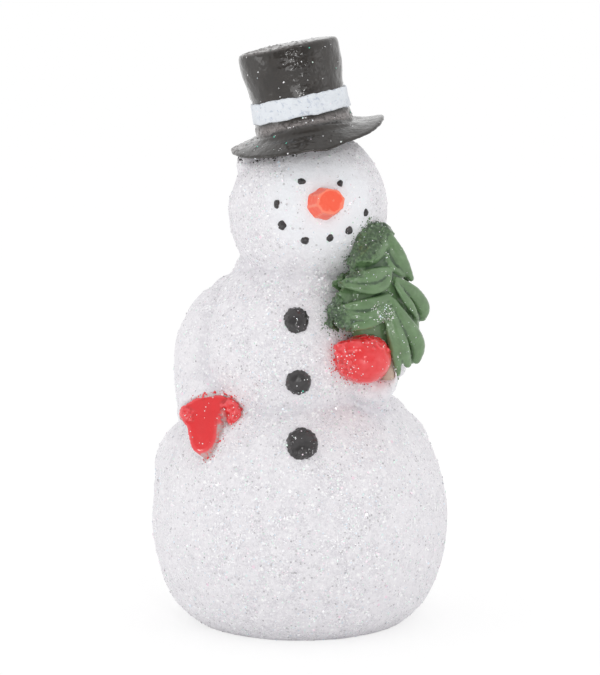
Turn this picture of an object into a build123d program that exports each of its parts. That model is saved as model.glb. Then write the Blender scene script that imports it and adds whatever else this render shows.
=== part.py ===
from build123d import *
import os
from math import asin, cos, pi, radians, sin, sqrt

os.makedirs("parts", exist_ok=True)

# A free-standing wooden snowman: three turned balls on dowels, a top hat, carved arms with mittens,
# a small fir tree in the left mitten, and turned studs for the eyes, mouth and buttons.
# Millimetres, +Z up. The origin is the centre of the flat foot, on the surface that the figure
# stands on. The figure faces -Y, so its right arm is on the -X side.
# A place on a ball is (azimuth, elevation): degrees round from the front towards +X, and degrees
# up from the ball's equator. A lift is how far something stands out of the ball's surface.

# Turned balls
foot_radius = 22.8
foot_edge_radius = 0.8
lower_radius = 29.6
lower_half_height = 31.4
waist_seat_radius = 17.9  # flat on top of the lower ball
torso_seat_radius = 17.0  # flat under the torso
torso_radius = 19.5
torso_half_height = 19.5
torso_shift = -1.6  # the torso stands a little towards the figure's right
neck_seat_radius = 9.9  # flat on top of the torso
head_seat_radius = 11.2  # flat under the head
head_radius = 15.6
head_half_height = 16.6
head_shift = 1.6  # the head is set back over to the left
head_advance = 0.5  # and a little forwards
hat_seat_radius = 7.4  # size of the slanting flat that the hat stands on

# Dowels and pegs
glue_gap = 0.05  # radial clearance of a peg in its bore, and of a carved seat on its ball
bore_end_gap = 0.4  # space for glue past a peg's end
dowel_chamfer = 0.4
waist_dowel_radius = 4.0
waist_dowel_length = 24.0
neck_dowel_radius = 3.0
neck_dowel_length = 17.0
hat_dowel_radius = 2.0
hat_dowel_in_head = 9.0
hat_dowel_in_crown = 9.0
arm_peg_radius = 1.2
arm_peg_in_torso = 6.0
arm_peg_in_arm = 2.4
wrist_peg_radius = 0.9
wrist_peg_length = 4.6
peg_chamfer = 0.2

# Hat
hat_tilt = 11.4  # leans towards the figure's right
hat_nod = 1.0  # leans forwards
crown_lean = 5.5  # the crown leans back from the brim's square
brim_radius = 15.7
brim_rim_thickness = 1.4
brim_crown_thickness = 2.6
crown_base_radius = 9.2
crown_top_radius = 10.3
crown_height = 15.4
crown_dome = 1.2
crown_edge_radius = 1.2
band_height = 4.1
band_lift = 1.9  # from the brim up to the band
band_thickness = 0.5

# Carrot nose
nose_azimuth = 10.9
nose_elevation = 12.8
nose_base_radius = 3.3
nose_tip_radius = 2.75
nose_length = 5.6
nose_sides = 8
nose_seat_depth = 0.4
nose_peg_radius = 1.3
nose_peg_length = 5.0
nose_tip_chamfer = 0.35

# Coal studs in the head
coal_height = 0.6
coal_peg_radius = 0.4
coal_peg_length = 2.0
eye_radius = 0.8
mouth_radius = 0.9
right_eye_place = (-5.0, 28.2)
left_eye_place = (25.5, 26.1)
mouth_places = ((-22.7, 11.7), (-18.4, -2.3), (-2.3, -12.4), (15.4, -10.6), (30.2, -6.5), (45.9, 4.6))

# Buttons
button_seat_depth = 0.25
button_height = 1.5
button_peg_radius = 1.0
button_peg_length = 4.0
upper_button_radius = 2.5
lower_button_radius = 3.1
top_button_place = (2.8, 27.6)
middle_button_place = (3.6, -8.4)
bottom_button_place = (1.0, 39.7)

# Arms: the root lies buried in the torso, then come the shoulder, elbow and wrist
right_arm_places = ((-86.0, 45.0), (-83.0, 19.0), (-75.0, -12.0))  # on the torso
right_arm_lifts = (-7.5, -2.5, -0.6)
right_wrist_on_torso = (-59.0, -27.0)  # the wrist hangs over the crease, midway between
right_wrist_on_lower_ball = (-61.2, 46.8)  # a place on the torso and one on the lower ball
right_wrist_lifts = (3.2, 2.0)
right_arm_radii = (4.6, 6.2, 5.8, 5.1)
left_arm_places = ((84.0, 45.0), (84.0, 20.0), (72.0, -11.0), (46.0, -6.0))  # on the torso
left_arm_lifts = (-7.5, -3.4, -1.2, 2.6)
left_arm_radii = (4.6, 5.8, 5.7, 5.0)

# Mittens: pods between two places on the ball that each mitten lies against
right_palm_places = ((-57.0, 43.5), (-43.0, 46.5))
right_palm_lifts = (2.6, 1.6)
right_palm_radii = (4.7, 3.0)
right_fingers_places = ((-53.0, 43.5), (-47.6, 37.6))
right_fingers_lifts = (3.0, 1.6)
right_fingers_radii = (3.6, 2.6)
left_palm_places = ((40.5, 2.5), (44.5, 0.5))
left_palm_lifts = (2.4, 1.9)
left_palm_radii = (5.5, 5.0)
left_thumb_places = ((28.5, 10.5), (36.0, 10.5))
left_thumb_lifts = (4.8, 6.6)
left_thumb_radii = (1.7, 1.6)

# Fir tree
tree_foot_place = (52.0, -9.0)  # on the torso
tree_foot_lift = 4.6
tree_tip_place = (58.0, -4.5)  # on the head
tree_tip_lift = 1.6
tree_yaw = 30.0  # the flat of the tree faces this far round to the left
tree_lopside = 2.0  # its boughs reach this much further on the side of the torso
tree_flatness = 0.5  # its thickness as a share of its width
core_spread = 5.0
core_tip_radius = 0.9
tier_spread = (7.6, 9.8, 11.0, 8.6, 5.4)  # half widths from the lowest tier up
tier_heights = (3.0, 8.0, 13.5, 19.0, 24.0)  # heights of their bough tips above the tree's foot
boughs_per_tier = 7
bough_root_radius = 2.6
bough_tip_radius = 1.7
bough_drop = 4.5  # how far a bough comes down from its root to its tip
root_share = 0.35  # how far out its root lies, as a share of its tip
trunk_radius = 1.8
trunk_in_tree = 9.0
trunk_below_tree = 0.6


def seat_height(radius, half_height, seat_radius):
    """How far from a ball's centre a flat of the given radius lies."""
    return half_height * sqrt(1 - (seat_radius / radius) ** 2)


# Centres of the balls, stacked seat on seat
lower_centre = Vector(0, 0, seat_height(lower_radius, lower_half_height, foot_radius))
waist_height = lower_centre.Z + seat_height(lower_radius, lower_half_height, waist_seat_radius)
torso_rise = seat_height(torso_radius, torso_half_height, torso_seat_radius)
torso_centre = Vector(torso_shift, 0, waist_height + torso_rise)
neck_height = torso_centre.Z + seat_height(torso_radius, torso_half_height, neck_seat_radius)
head_rise = seat_height(head_radius, head_half_height, head_seat_radius)
head_centre = Vector(head_shift, -head_advance, neck_height + head_rise)
waist_centre = Vector(torso_shift / 2, 0, waist_height)
neck_centre = Vector((torso_shift + head_shift) / 2, -head_advance / 2, neck_height)

lower_ball_size = (lower_centre, lower_radius, lower_half_height)
torso_size = (torso_centre, torso_radius, torso_half_height)
head_size = (head_centre, head_radius, head_half_height)

# The slanting plane on which the hat stands
hat_lift = seat_height(head_radius, head_half_height, hat_seat_radius)
hat_side = Vector(cos(radians(hat_tilt)), 0, sin(radians(hat_tilt)))
hat_up = Vector(-sin(radians(hat_tilt)), -sin(radians(hat_nod)), cos(radians(hat_tilt)))
hat_plane = Plane(origin=head_centre + Vector(0, 0, hat_lift), x_dir=hat_side, z_dir=hat_up)
crown_plane = hat_plane.offset(brim_crown_thickness).rotated((-crown_lean, 0, 0))


def ball_plane(ball, azimuth, elevation, lift=0.0):
    """The plane that touches a ball at a place, with Z straight out of it and X to the side."""
    centre, radius, half_height = ball
    turn, rise = radians(azimuth), radians(elevation)
    side = Vector(cos(turn), sin(turn), 0)
    outward = Vector(sin(turn), -cos(turn), 0)
    touch = centre + outward * (radius * cos(rise)) + Vector(0, 0, half_height * sin(rise))
    normal = outward * (cos(rise) / radius) + Vector(0, 0, sin(rise) / half_height)
    return Plane(origin=touch + normal.normalized() * lift, x_dir=side, z_dir=normal)


def section_of(plane):
    """The upright plane through another plane's Z axis, for a section to revolve about that axis."""
    return Plane(origin=plane.origin, x_dir=plane.x_dir, z_dir=-plane.y_dir)


def axis_of(plane):
    """The line along a plane's Z."""
    return Axis(plane.origin, plane.z_dir)


def turned_ball(ball, foot, top, gap=0.0):
    """A ball turned between two flats, given by their heights above the ground, and grown by a gap."""
    centre, radius, half_height = ball
    centre_plane = Plane(centre)
    middle = (foot + top) / 2 - centre.Z
    with BuildPart(mode=Mode.PRIVATE) as turning:
        with BuildSketch(section_of(centre_plane)):
            Ellipse(radius + gap, half_height + gap)
            with Locations((radius, middle)):
                Rectangle(2 * radius, top - foot, mode=Mode.INTERSECT)
        revolve(axis=axis_of(centre_plane))
    return turning.part


def ball_space(ball):
    """A whole ball grown by the glue gap, which cuts the seat of a piece that lies against it."""
    centre, radius, half_height = ball
    return turned_ball(ball, centre.Z - 2 * half_height, centre.Z + 2 * half_height, glue_gap)


def peg(plane, radius, below, above, bevel):
    """A round peg along a plane's Z, bevelled at both ends."""
    with BuildPart(mode=Mode.PRIVATE) as rod:
        with BuildSketch(plane.offset(-below)):
            Circle(radius)
        extrude(amount=below + above)
        chamfer(rod.edges().filter_by(GeomType.CIRCLE), length=bevel)
    return rod.part


def bore(plane, radius, below, above):
    """The space that a peg needs, with clearance round it and past both ends."""
    with BuildPart(mode=Mode.PRIVATE) as space:
        with BuildSketch(plane.offset(-below - bore_end_gap)):
            Circle(radius + glue_gap)
        extrude(amount=below + above + 2 * bore_end_gap)
    return space.part


def domed_stud(seat, radius, height, peg_radius, peg_length):
    """A turned stud: a low dome on a flat seat, with a thin peg below it."""
    with BuildPart(mode=Mode.PRIVATE) as stud:
        with BuildSketch(section_of(seat)):
            with BuildLine():
                TangentArc((0, height), (radius, 0), tangent=(1, 0))
                Polyline((radius, 0), (peg_radius, 0), (peg_radius, -peg_length))
                Polyline((peg_radius, -peg_length), (0, -peg_length), (0, height))
            make_face()
        revolve(axis=axis_of(seat))
    return stud.part


def pod(start, end, end_radii, gap=0.0):
    """A rounded pod between two points: a round at each end and a straight taper between."""
    big, small = (radius + gap for radius in end_radii)
    run = Plane(origin=start, z_dir=end - start)
    length = (end - start).length
    lean = asin((big - small) / length)
    with BuildPart(mode=Mode.PRIVATE) as shape:
        with BuildSketch(section_of(run)):
            with BuildLine():
                big_tangent = (big * cos(lean), big * sin(lean))
                small_tangent = (small * cos(lean), length + small * sin(lean))
                TangentArc((0, -big), big_tangent, tangent=(1, 0))
                Line(big_tangent, small_tangent)
                TangentArc((0, length + small), small_tangent, tangent=(1, 0))
                Line((0, length + small), (0, -big))
            make_face()
        revolve(axis=axis_of(run))
    return shape.part


def points_on(ball, places, lifts):
    """The points at places on a ball, each with its lift."""
    return [ball_plane(ball, *place, lift).origin for place, lift in zip(places, lifts)]


def arm_end(joints):
    """The plane across an arm's wrist, with Z along the forearm."""
    elbow, wrist = joints[-2:]
    return Plane(origin=wrist, z_dir=wrist - elbow)


def arm_shape(joints, radii, gap=0.0):
    """A round arm lofted through its joints, square across its line at each of them."""
    steps = [(end - start).normalized() for start, end in zip(joints, joints[1:])]
    bends = [before + after for before, after in zip(steps, steps[1:])]
    headings = [steps[0], *bends, steps[-1]]
    with BuildPart(mode=Mode.PRIVATE) as limb:
        for joint, heading, radius in zip(joints, headings, radii):
            with BuildSketch(Plane(origin=joint, x_dir=(0, 1, 0), z_dir=heading)):
                Circle(radius + gap)
        loft()
    return limb.part


# Spaces that cut the seats of pieces lying against each other
lower_space = ball_space(lower_ball_size)
torso_space = ball_space(torso_size)
head_space = ball_space(head_size)

# Joints of the arms, and the ends of the mittens' pods
right_arm_joints = points_on(torso_size, right_arm_places, right_arm_lifts)
wrist_from_torso = ball_plane(torso_size, *right_wrist_on_torso, right_wrist_lifts[0]).origin
wrist_from_lower_ball = ball_plane(lower_ball_size, *right_wrist_on_lower_ball, right_wrist_lifts[1]).origin
right_arm_joints.append((wrist_from_torso + wrist_from_lower_ball) / 2)
left_arm_joints = points_on(torso_size, left_arm_places, left_arm_lifts)
right_palm = points_on(lower_ball_size, right_palm_places, right_palm_lifts)
right_fingers = points_on(lower_ball_size, right_fingers_places, right_fingers_lifts)
left_palm = points_on(torso_size, left_palm_places, left_palm_lifts)
left_thumb = points_on(torso_size, left_thumb_places, left_thumb_lifts)

# Peg lines: along each forearm, and square to the torso where each arm lies on it
right_wrist = arm_end(right_arm_joints)
left_wrist = arm_end(left_arm_joints)
right_arm_seat = ball_plane(torso_size, right_arm_places[1][0], 0.0)
left_arm_seat = ball_plane(torso_size, *left_arm_places[2])

# The tree's own plane: Z up its trunk, X across its flat
tree_foot = ball_plane(torso_size, *tree_foot_place, tree_foot_lift).origin
tree_tip = ball_plane(head_size, *tree_tip_place, tree_tip_lift).origin
tree_side = Vector(cos(radians(tree_yaw)), sin(radians(tree_yaw)), 0)
tree_plane = Plane(origin=tree_foot, x_dir=tree_side, z_dir=tree_tip - tree_foot)
tree_height = (tree_tip - tree_foot).length

coals = {
    "right_eye": (head_size, right_eye_place, eye_radius),
    "left_eye": (head_size, left_eye_place, eye_radius),
}
for number, place in enumerate(mouth_places, start=1):
    coals[f"mouth_coal_{number}"] = (head_size, place, mouth_radius)
buttons = {
    "top_button": (torso_size, top_button_place, upper_button_radius),
    "middle_button": (torso_size, middle_button_place, upper_button_radius),
    "bottom_button": (lower_ball_size, bottom_button_place, lower_button_radius),
}
nose_plane = ball_plane(head_size, nose_azimuth, nose_elevation, -nose_seat_depth)

# Lower ball: flat foot, flat waist seat, dowel bore and the bottom button's seat
with BuildPart() as lower_ball:
    add(turned_ball(lower_ball_size, 0, waist_height))
    foot_edge = lower_ball.edges().filter_by(GeomType.CIRCLE).sort_by(Axis.Z)[0]
    fillet(foot_edge, radius=foot_edge_radius)
    with Locations(waist_centre):
        Hole(waist_dowel_radius + glue_gap, depth=waist_dowel_length / 2 + bore_end_gap)
    with Locations(ball_plane(lower_ball_size, *bottom_button_place)):
        CounterBoreHole(
            button_peg_radius + glue_gap,
            lower_button_radius + glue_gap,
            button_seat_depth,
            depth=button_seat_depth + button_peg_length + bore_end_gap,
        )

# Torso: flats at waist and neck, dowel bores, arm peg bores and two button seats
with BuildPart() as torso:
    add(turned_ball(torso_size, waist_height, neck_height))
    add(bore(Plane(waist_centre), waist_dowel_radius, 0.0, waist_dowel_length / 2), mode=Mode.SUBTRACT)
    with Locations(neck_centre):
        Hole(neck_dowel_radius + glue_gap, depth=neck_dowel_length / 2 + bore_end_gap)
    with Locations(right_arm_seat, left_arm_seat):
        Hole(arm_peg_radius + glue_gap, depth=arm_peg_in_torso + bore_end_gap)
    with Locations(
        ball_plane(torso_size, *top_button_place),
        ball_plane(torso_size, *middle_button_place),
    ):
        CounterBoreHole(
            button_peg_radius + glue_gap,
            upper_button_radius + glue_gap,
            button_seat_depth,
            depth=button_seat_depth + button_peg_length + bore_end_gap,
        )

# Head: flat at the neck, slanting flat for the hat, bores for dowels, nose and coals
with BuildPart() as head:
    add(turned_ball(head_size, neck_height, neck_height + 2 * head_half_height))
    split(bisect_by=hat_plane, keep=Keep.BOTTOM)
    add(bore(Plane(neck_centre), neck_dowel_radius, 0.0, neck_dowel_length / 2), mode=Mode.SUBTRACT)
    with Locations(hat_plane):
        Hole(hat_dowel_radius + glue_gap, depth=hat_dowel_in_head + bore_end_gap)
    with Locations(nose_plane):
        CounterBoreHole(
            nose_peg_radius + glue_gap,
            nose_base_radius + glue_gap,
            0.0,
            depth=nose_peg_length + bore_end_gap,
        )
    for ball, place, radius in coals.values():
        with Locations(ball_plane(ball, *place)):
            Hole(coal_peg_radius + glue_gap, depth=coal_peg_length + bore_end_gap)

# Dowels that join the balls and the hat
with BuildPart() as waist_dowel:
    half_length = waist_dowel_length / 2
    add(peg(Plane(waist_centre), waist_dowel_radius, half_length, half_length, dowel_chamfer))

with BuildPart() as neck_dowel:
    half_length = neck_dowel_length / 2
    add(peg(Plane(neck_centre), neck_dowel_radius, half_length, half_length, dowel_chamfer))

hat_dowel_above_seat = brim_crown_thickness + hat_dowel_in_crown
with BuildPart() as hat_dowel:
    add(peg(hat_plane, hat_dowel_radius, hat_dowel_in_head, hat_dowel_above_seat, dowel_chamfer))

# Hat brim: flat below, rounded rim, rising to the slanting foot of the crown
with BuildPart() as hat_brim:
    with BuildSketch(section_of(hat_plane)):
        with BuildLine():
            rim_top = (brim_radius - brim_rim_thickness / 2, brim_rim_thickness)
            rim_edge = (brim_radius, brim_rim_thickness / 2)
            rim_under = (brim_radius - brim_rim_thickness / 2, 0)
            Polyline(rim_under, (0, 0), (0, brim_rim_thickness), rim_top)
            ThreePointArc(rim_top, rim_edge, rim_under)
        make_face()
    revolve(axis=axis_of(hat_plane))
    with BuildSketch(hat_plane.offset(brim_rim_thickness)):
        Circle(brim_radius - brim_rim_thickness / 2)
    with BuildSketch(crown_plane):
        Circle(crown_base_radius)
    loft()
    add(bore(hat_plane, hat_dowel_radius, 0.0, hat_dowel_above_seat), mode=Mode.SUBTRACT)

# Hat crown: widens upwards, with a low dome on top, and leans back on the brim
with BuildPart() as hat_crown:
    with BuildSketch(section_of(crown_plane)) as crown_section:
        with BuildLine():
            crown_peak = (0, crown_height + crown_dome)
            crown_shoulder = (crown_top_radius, crown_height)
            TangentArc(crown_peak, crown_shoulder, tangent=(1, 0))
            Polyline(crown_shoulder, (crown_base_radius, 0), (0, 0), crown_peak)
        make_face()
        fillet(crown_section.vertices().sort_by(Axis.X)[-1], radius=crown_edge_radius)
    revolve(axis=axis_of(crown_plane))
    add(bore(hat_plane, hat_dowel_radius, 0.0, hat_dowel_above_seat), mode=Mode.SUBTRACT)

# Hat band: a thin ring that follows the crown's taper
crown_slope = (crown_top_radius - crown_base_radius) / crown_height
band_foot_radius = crown_base_radius + crown_slope * band_lift + glue_gap
band_top_radius = band_foot_radius + crown_slope * band_height
with BuildPart() as hat_band:
    with BuildSketch(section_of(crown_plane)):
        with BuildLine():
            Polyline(
                (band_foot_radius, band_lift),
                (band_foot_radius + band_thickness, band_lift),
                (band_top_radius + band_thickness, band_lift + band_height),
                (band_top_radius, band_lift + band_height),
                close=True,
            )
        make_face()
    revolve(axis=axis_of(crown_plane))

# Carrot nose: a blunt whittled stub with its own peg
with BuildPart() as carrot_nose:
    with BuildSketch(nose_plane):
        RegularPolygon(nose_base_radius, nose_sides)
    with BuildSketch(nose_plane.offset(nose_length)):
        RegularPolygon(nose_tip_radius, nose_sides)
    loft()
    chamfer(carrot_nose.faces().sort_by(axis_of(nose_plane))[-1].edges(), length=nose_tip_chamfer)
    with BuildSketch(nose_plane):
        Circle(nose_peg_radius)
    extrude(amount=-nose_peg_length)

# Arms: carved to lie on the torso and the lower ball, square across the wrist
trunk_space = bore(tree_plane, trunk_radius, trunk_below_tree, trunk_in_tree)

with BuildPart() as right_arm:
    add(arm_shape(right_arm_joints, right_arm_radii))
    add(torso_space, mode=Mode.SUBTRACT)
    add(lower_space, mode=Mode.SUBTRACT)
    with Locations(right_wrist):
        Hole(wrist_peg_radius + glue_gap, depth=wrist_peg_length / 2 + bore_end_gap)
    add(bore(right_arm_seat, arm_peg_radius, 0.0, arm_peg_in_arm), mode=Mode.SUBTRACT)

with BuildPart() as left_arm:
    add(arm_shape(left_arm_joints, left_arm_radii))
    add(torso_space, mode=Mode.SUBTRACT)
    add(lower_space, mode=Mode.SUBTRACT)
    add(trunk_space, mode=Mode.SUBTRACT)
    with Locations(left_wrist):
        Hole(wrist_peg_radius + glue_gap, depth=wrist_peg_length / 2 + bore_end_gap)
    add(bore(left_arm_seat, arm_peg_radius, 0.0, arm_peg_in_arm), mode=Mode.SUBTRACT)

with BuildPart() as right_arm_peg:
    add(peg(right_arm_seat, arm_peg_radius, arm_peg_in_torso, arm_peg_in_arm, peg_chamfer))

with BuildPart() as left_arm_peg:
    add(peg(left_arm_seat, arm_peg_radius, arm_peg_in_torso, arm_peg_in_arm, peg_chamfer))

with BuildPart() as right_wrist_peg:
    add(peg(right_wrist, wrist_peg_radius, wrist_peg_length / 2, wrist_peg_length / 2, peg_chamfer))

with BuildPart() as left_wrist_peg:
    add(peg(left_wrist, wrist_peg_radius, wrist_peg_length / 2, wrist_peg_length / 2, peg_chamfer))

# Mittens: seated on the ball behind them and against the end of the arm
with BuildPart() as right_mitten:
    add(pod(*right_palm, right_palm_radii))
    add(pod(*right_fingers, right_fingers_radii))
    add(lower_space, mode=Mode.SUBTRACT)
    add(torso_space, mode=Mode.SUBTRACT)
    add(arm_shape(right_arm_joints, right_arm_radii, glue_gap), mode=Mode.SUBTRACT)
    add(bore(right_wrist, wrist_peg_radius, 0.0, wrist_peg_length / 2), mode=Mode.SUBTRACT)

with BuildPart() as left_mitten:
    add(pod(*left_palm, left_palm_radii))
    add(pod(*left_thumb, left_thumb_radii))
    add(torso_space, mode=Mode.SUBTRACT)
    add(arm_shape(left_arm_joints, left_arm_radii, glue_gap), mode=Mode.SUBTRACT)
    add(trunk_space, mode=Mode.SUBTRACT)
    add(bore(left_wrist, wrist_peg_radius, 0.0, wrist_peg_length / 2), mode=Mode.SUBTRACT)

# Tree: a carved core with tiers of rounded boughs, flat from front to back, cut to lie on the
# torso, cheek, arm and mitten
with BuildPart() as tree:
    with BuildSketch(tree_plane):
        Ellipse(core_spread, core_spread * tree_flatness)
    with BuildSketch(tree_plane.offset(tree_height)):
        Ellipse(core_tip_radius, core_tip_radius * tree_flatness)
    loft()
    for spread, height in zip(tier_spread, tier_heights):
        for number in range(boughs_per_tier):
            turn = 2 * pi * number / boughs_per_tier
            reach = spread - bough_tip_radius
            across = reach * cos(turn) - tree_lopside * reach / max(tier_spread)
            forward = reach * sin(turn) * tree_flatness
            root_place = (across * root_share, forward * root_share, height + bough_drop)
            root = tree_plane.from_local_coords(root_place)
            tip = tree_plane.from_local_coords((across, forward, height))
            add(pod(root, tip, (bough_root_radius, bough_tip_radius)))
    add(torso_space, mode=Mode.SUBTRACT)
    add(head_space, mode=Mode.SUBTRACT)
    add(arm_shape(left_arm_joints, left_arm_radii, glue_gap), mode=Mode.SUBTRACT)
    add(pod(*left_palm, left_palm_radii, glue_gap), mode=Mode.SUBTRACT)
    add(pod(*left_thumb, left_thumb_radii, glue_gap), mode=Mode.SUBTRACT)
    add(trunk_space, mode=Mode.SUBTRACT)
    add(tree.solids().sort_by(SortBy.VOLUME)[-1], mode=Mode.REPLACE)

with BuildPart() as tree_trunk:
    add(peg(tree_plane, trunk_radius, trunk_below_tree, trunk_in_tree, peg_chamfer))

finished = {
    "lower_ball": lower_ball,
    "torso": torso,
    "head": head,
    "waist_dowel": waist_dowel,
    "neck_dowel": neck_dowel,
    "hat_dowel": hat_dowel,
    "hat_brim": hat_brim,
    "hat_crown": hat_crown,
    "hat_band": hat_band,
    "carrot_nose": carrot_nose,
    "right_arm": right_arm,
    "left_arm": left_arm,
    "right_arm_peg": right_arm_peg,
    "left_arm_peg": left_arm_peg,
    "right_wrist_peg": right_wrist_peg,
    "left_wrist_peg": left_wrist_peg,
    "right_mitten": right_mitten,
    "left_mitten": left_mitten,
    "tree": tree,
    "tree_trunk": tree_trunk,
}
for label, piece in finished.items():
    piece.part.label = label
    export_step(piece.part, f"parts/{label}.step")

# Eyes and mouth: small domed studs on thin pegs
for label, (ball, place, radius) in coals.items():
    with BuildPart() as coal:
        add(domed_stud(ball_plane(ball, *place), radius, coal_height, coal_peg_radius, coal_peg_length))
    coal.part.label = label
    export_step(coal.part, f"parts/{label}.step")

# Buttons: domed discs let into spot-faced seats
for label, (ball, place, radius) in buttons.items():
    seat = ball_plane(ball, *place, -button_seat_depth)
    with BuildPart() as button:
        add(domed_stud(seat, radius, button_height, button_peg_radius, button_peg_length))
    button.part.label = label
    export_step(button.part, f"parts/{label}.step")
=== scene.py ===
from contextlib import contextmanager
from math import cos, pi, radians, sin, sqrt

import bpy
import numpy as np
from bpy.props import FloatProperty, FloatVectorProperty, PointerProperty
from mathutils import Matrix, Vector, kdtree
from mathutils.bvhtree import BVHTree


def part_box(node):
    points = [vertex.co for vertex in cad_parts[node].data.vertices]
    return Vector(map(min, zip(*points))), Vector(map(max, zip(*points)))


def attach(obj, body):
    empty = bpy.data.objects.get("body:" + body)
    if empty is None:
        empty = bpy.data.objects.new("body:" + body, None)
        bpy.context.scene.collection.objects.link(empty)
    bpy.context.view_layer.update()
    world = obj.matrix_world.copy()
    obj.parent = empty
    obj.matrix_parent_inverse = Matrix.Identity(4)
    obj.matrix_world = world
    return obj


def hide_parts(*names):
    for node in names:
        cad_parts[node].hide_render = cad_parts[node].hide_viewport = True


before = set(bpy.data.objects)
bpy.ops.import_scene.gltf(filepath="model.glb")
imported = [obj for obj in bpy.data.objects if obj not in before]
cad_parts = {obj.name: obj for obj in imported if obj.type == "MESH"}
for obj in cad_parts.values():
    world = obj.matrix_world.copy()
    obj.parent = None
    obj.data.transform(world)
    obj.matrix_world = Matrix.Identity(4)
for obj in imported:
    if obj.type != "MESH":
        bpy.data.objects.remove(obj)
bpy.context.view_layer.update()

bl_info = {
    "name": "Glittered snowman",
    "version": (1, 0, 0),
    "blender": (4, 5, 0),
    "location": "View3D > Sidebar > Snowman",
    "description": "Finishes a turned wooden snowman with snow, glitter, paint and a carved fir tree",
    "category": "Add Mesh",
}

MM = 0.001
BODY = "root"
ACROSS = Vector((1, 0, 0))
# Most that a strewn copy leans, in radians
MOST_LEAN = 0.55


# ---- Sizes and colours that a user would change ----


def number(name, description, default, **more):
    """A plain number setting."""
    return FloatProperty(name=name, description=description, default=default, **more)


def length(name, description, millimetres):
    """A length setting, given in millimetres."""
    return number(name, description, millimetres * MM, unit="LENGTH")


def colour(name, description, *rgb):
    """A colour setting."""
    shown = dict(name=name, description=description, subtype="COLOR")
    return FloatVectorProperty(default=rgb, size=3, min=0.0, max=1.0, **shown)


class BallSettings(bpy.types.PropertyGroup):
    """Half heights of the three turned balls, which their flats cut short"""

    lower_half_height: length("Lower ball", "Half height of the whole lower ball", 31.4)
    torso_half_height: length("Torso", "Half height of the whole torso ball", 19.5)
    head_half_height: length("Head", "Half height of the whole head ball", 16.6)


class CoatSettings(bpy.types.PropertyGroup):
    """The snow coat and its glitter"""

    thickness: length("Thickness", "How far the coat stands out of the wood", 0.25)
    grain: length("Mesh grain", "Size of the coat's mesh cells", 0.5)
    lump_depth: length("Lumps", "Depth of the coat's soft lumps", 0.35)
    ripple_depth: length("Ripples", "Depth of the coat's fine ripples", 0.28)
    flake_radius: length("Flake radius", "Radius of one glitter flake", 0.15)
    flakes_per_mm2: number("Flakes", "Loose glitter flakes on a square millimetre", 0.26)
    sparkles_per_mm2: number("Sparkles", "Large loose flakes on a square millimetre", 0.05)
    overspray: length("Overspray", "How far stray paint reaches on the snow", 2.2)
    snow: colour("Snow", "Colour of the coat", 0.868, 0.851, 0.879)
    face_snow: colour("Face", "Cooler colour of the face, beside the warm nose", 0.865, 0.895, 0.93)
    # The shade colour stands for the grey mottle of the coat and for the painted shade in its hollows
    shade: colour("Shade", "Colour of the coat's hollows", 0.67, 0.65, 0.69)


class HatSettings(bpy.types.PropertyGroup):
    """The top hat"""

    flare_radius: length("Flare radius", "Radius of the roll at the crown's foot", 11.0)
    roll_height: length("Roll height", "Height of that roll's concave side", 1.6)
    rim_thickness: length("Rim", "Thickness of the brim's edge", 0.9)
    droop: length("Droop", "How far the brim droops at the front and back", 1.0)
    left_curl: length("Curl on the figure's left", "How far that side curls up", 1.5)
    right_curl: length("Curl on the figure's right", "How far that side curls up", 0.75)
    left_low: number("Low on the figure's left", "How much flatter that side of the brim is", 0.75)
    right_low: number("Low on the figure's right", "How much flatter that side of the brim is", 0.55)
    waist_radius: length("Waist", "Radius of the crown at its narrowest, inside the band", 9.2)
    askew: length("Askew", "How far the band sits to the figure's right", 0.35)
    paint: colour("Hat paint", "Black-brown paint", 0.016, 0.0125, 0.010)
    # Painted sheen: lighter grey-brown where grazing light catches the hat's gritty edges
    edge_sheen: colour("Worn paint", "Dusty paint on the hat's edges", 0.24, 0.215, 0.21)
    band: colour("Band paint", "Blue-white paint of the band", 0.79, 0.825, 0.87)
    # Grey-blue smudges in patches, and painted shade in the band's hollows
    band_smudge_and_shade: colour("Band wash", "Grey-blue wash on the band", 0.42, 0.47, 0.58)


class FaceSettings(bpy.types.PropertyGroup):
    """Nose, eyes, mouth and buttons"""

    coal: colour("Coal", "Paint of the eyes, mouth and buttons", 0.022, 0.020, 0.021)
    drop: length("Drop", "How far the nose and the eyes sit below their pegs' middles", 0.45)
    carrot: colour("Carrot", "Paint of the nose", 0.93, 0.108, 0.048)
    # Painted highlight: the paler carrot on the nose's ridges, where light catches the edges of its facets
    carrot_sheen: colour("Pale carrot", "Thinner paint on the nose's facets", 0.95, 0.23, 0.14)


class MittenSettings(bpy.types.PropertyGroup):
    """The mittens"""

    grain: length("Mesh grain", "Size of the mittens' mesh cells", 0.22)
    plate_height: length("Plate height", "How far the hanging mitten stands out of the snow", 2.3)
    red: colour("Red", "Mitten paint", 0.75, 0.029, 0.033)
    # Painted highlight: the paler red on the mittens' ridges
    sheen_red: colour("Pale red", "Where the paint is thin", 0.84, 0.075, 0.085)
    # Painted shade: grey-pink on the wall under the hanging mitten and on the snow right beside it
    mitten_wall_shade: colour("Bare wall", "Thinly painted snow beside the hanging mitten", 0.52, 0.43, 0.42)


class TreeSettings(bpy.types.PropertyGroup):
    """The fir tree"""

    grain: length("Mesh grain", "Size of the tree's mesh cells", 0.26)
    yaw: number("Yaw", "How far the tree's flat faces to the left", radians(30.0), subtype="ANGLE")
    green: colour("Green", "Paint of the boughs", 0.114, 0.196, 0.090)
    # Painted shade in the tree's folds, and darker still over its rough top and edge
    fold_shade_and_rough_green: colour("Deep green", "Paint in the folds", 0.050, 0.095, 0.045)
    trunk: colour("Trunk", "Paint of the trunk", 0.55, 0.44, 0.35)


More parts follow.
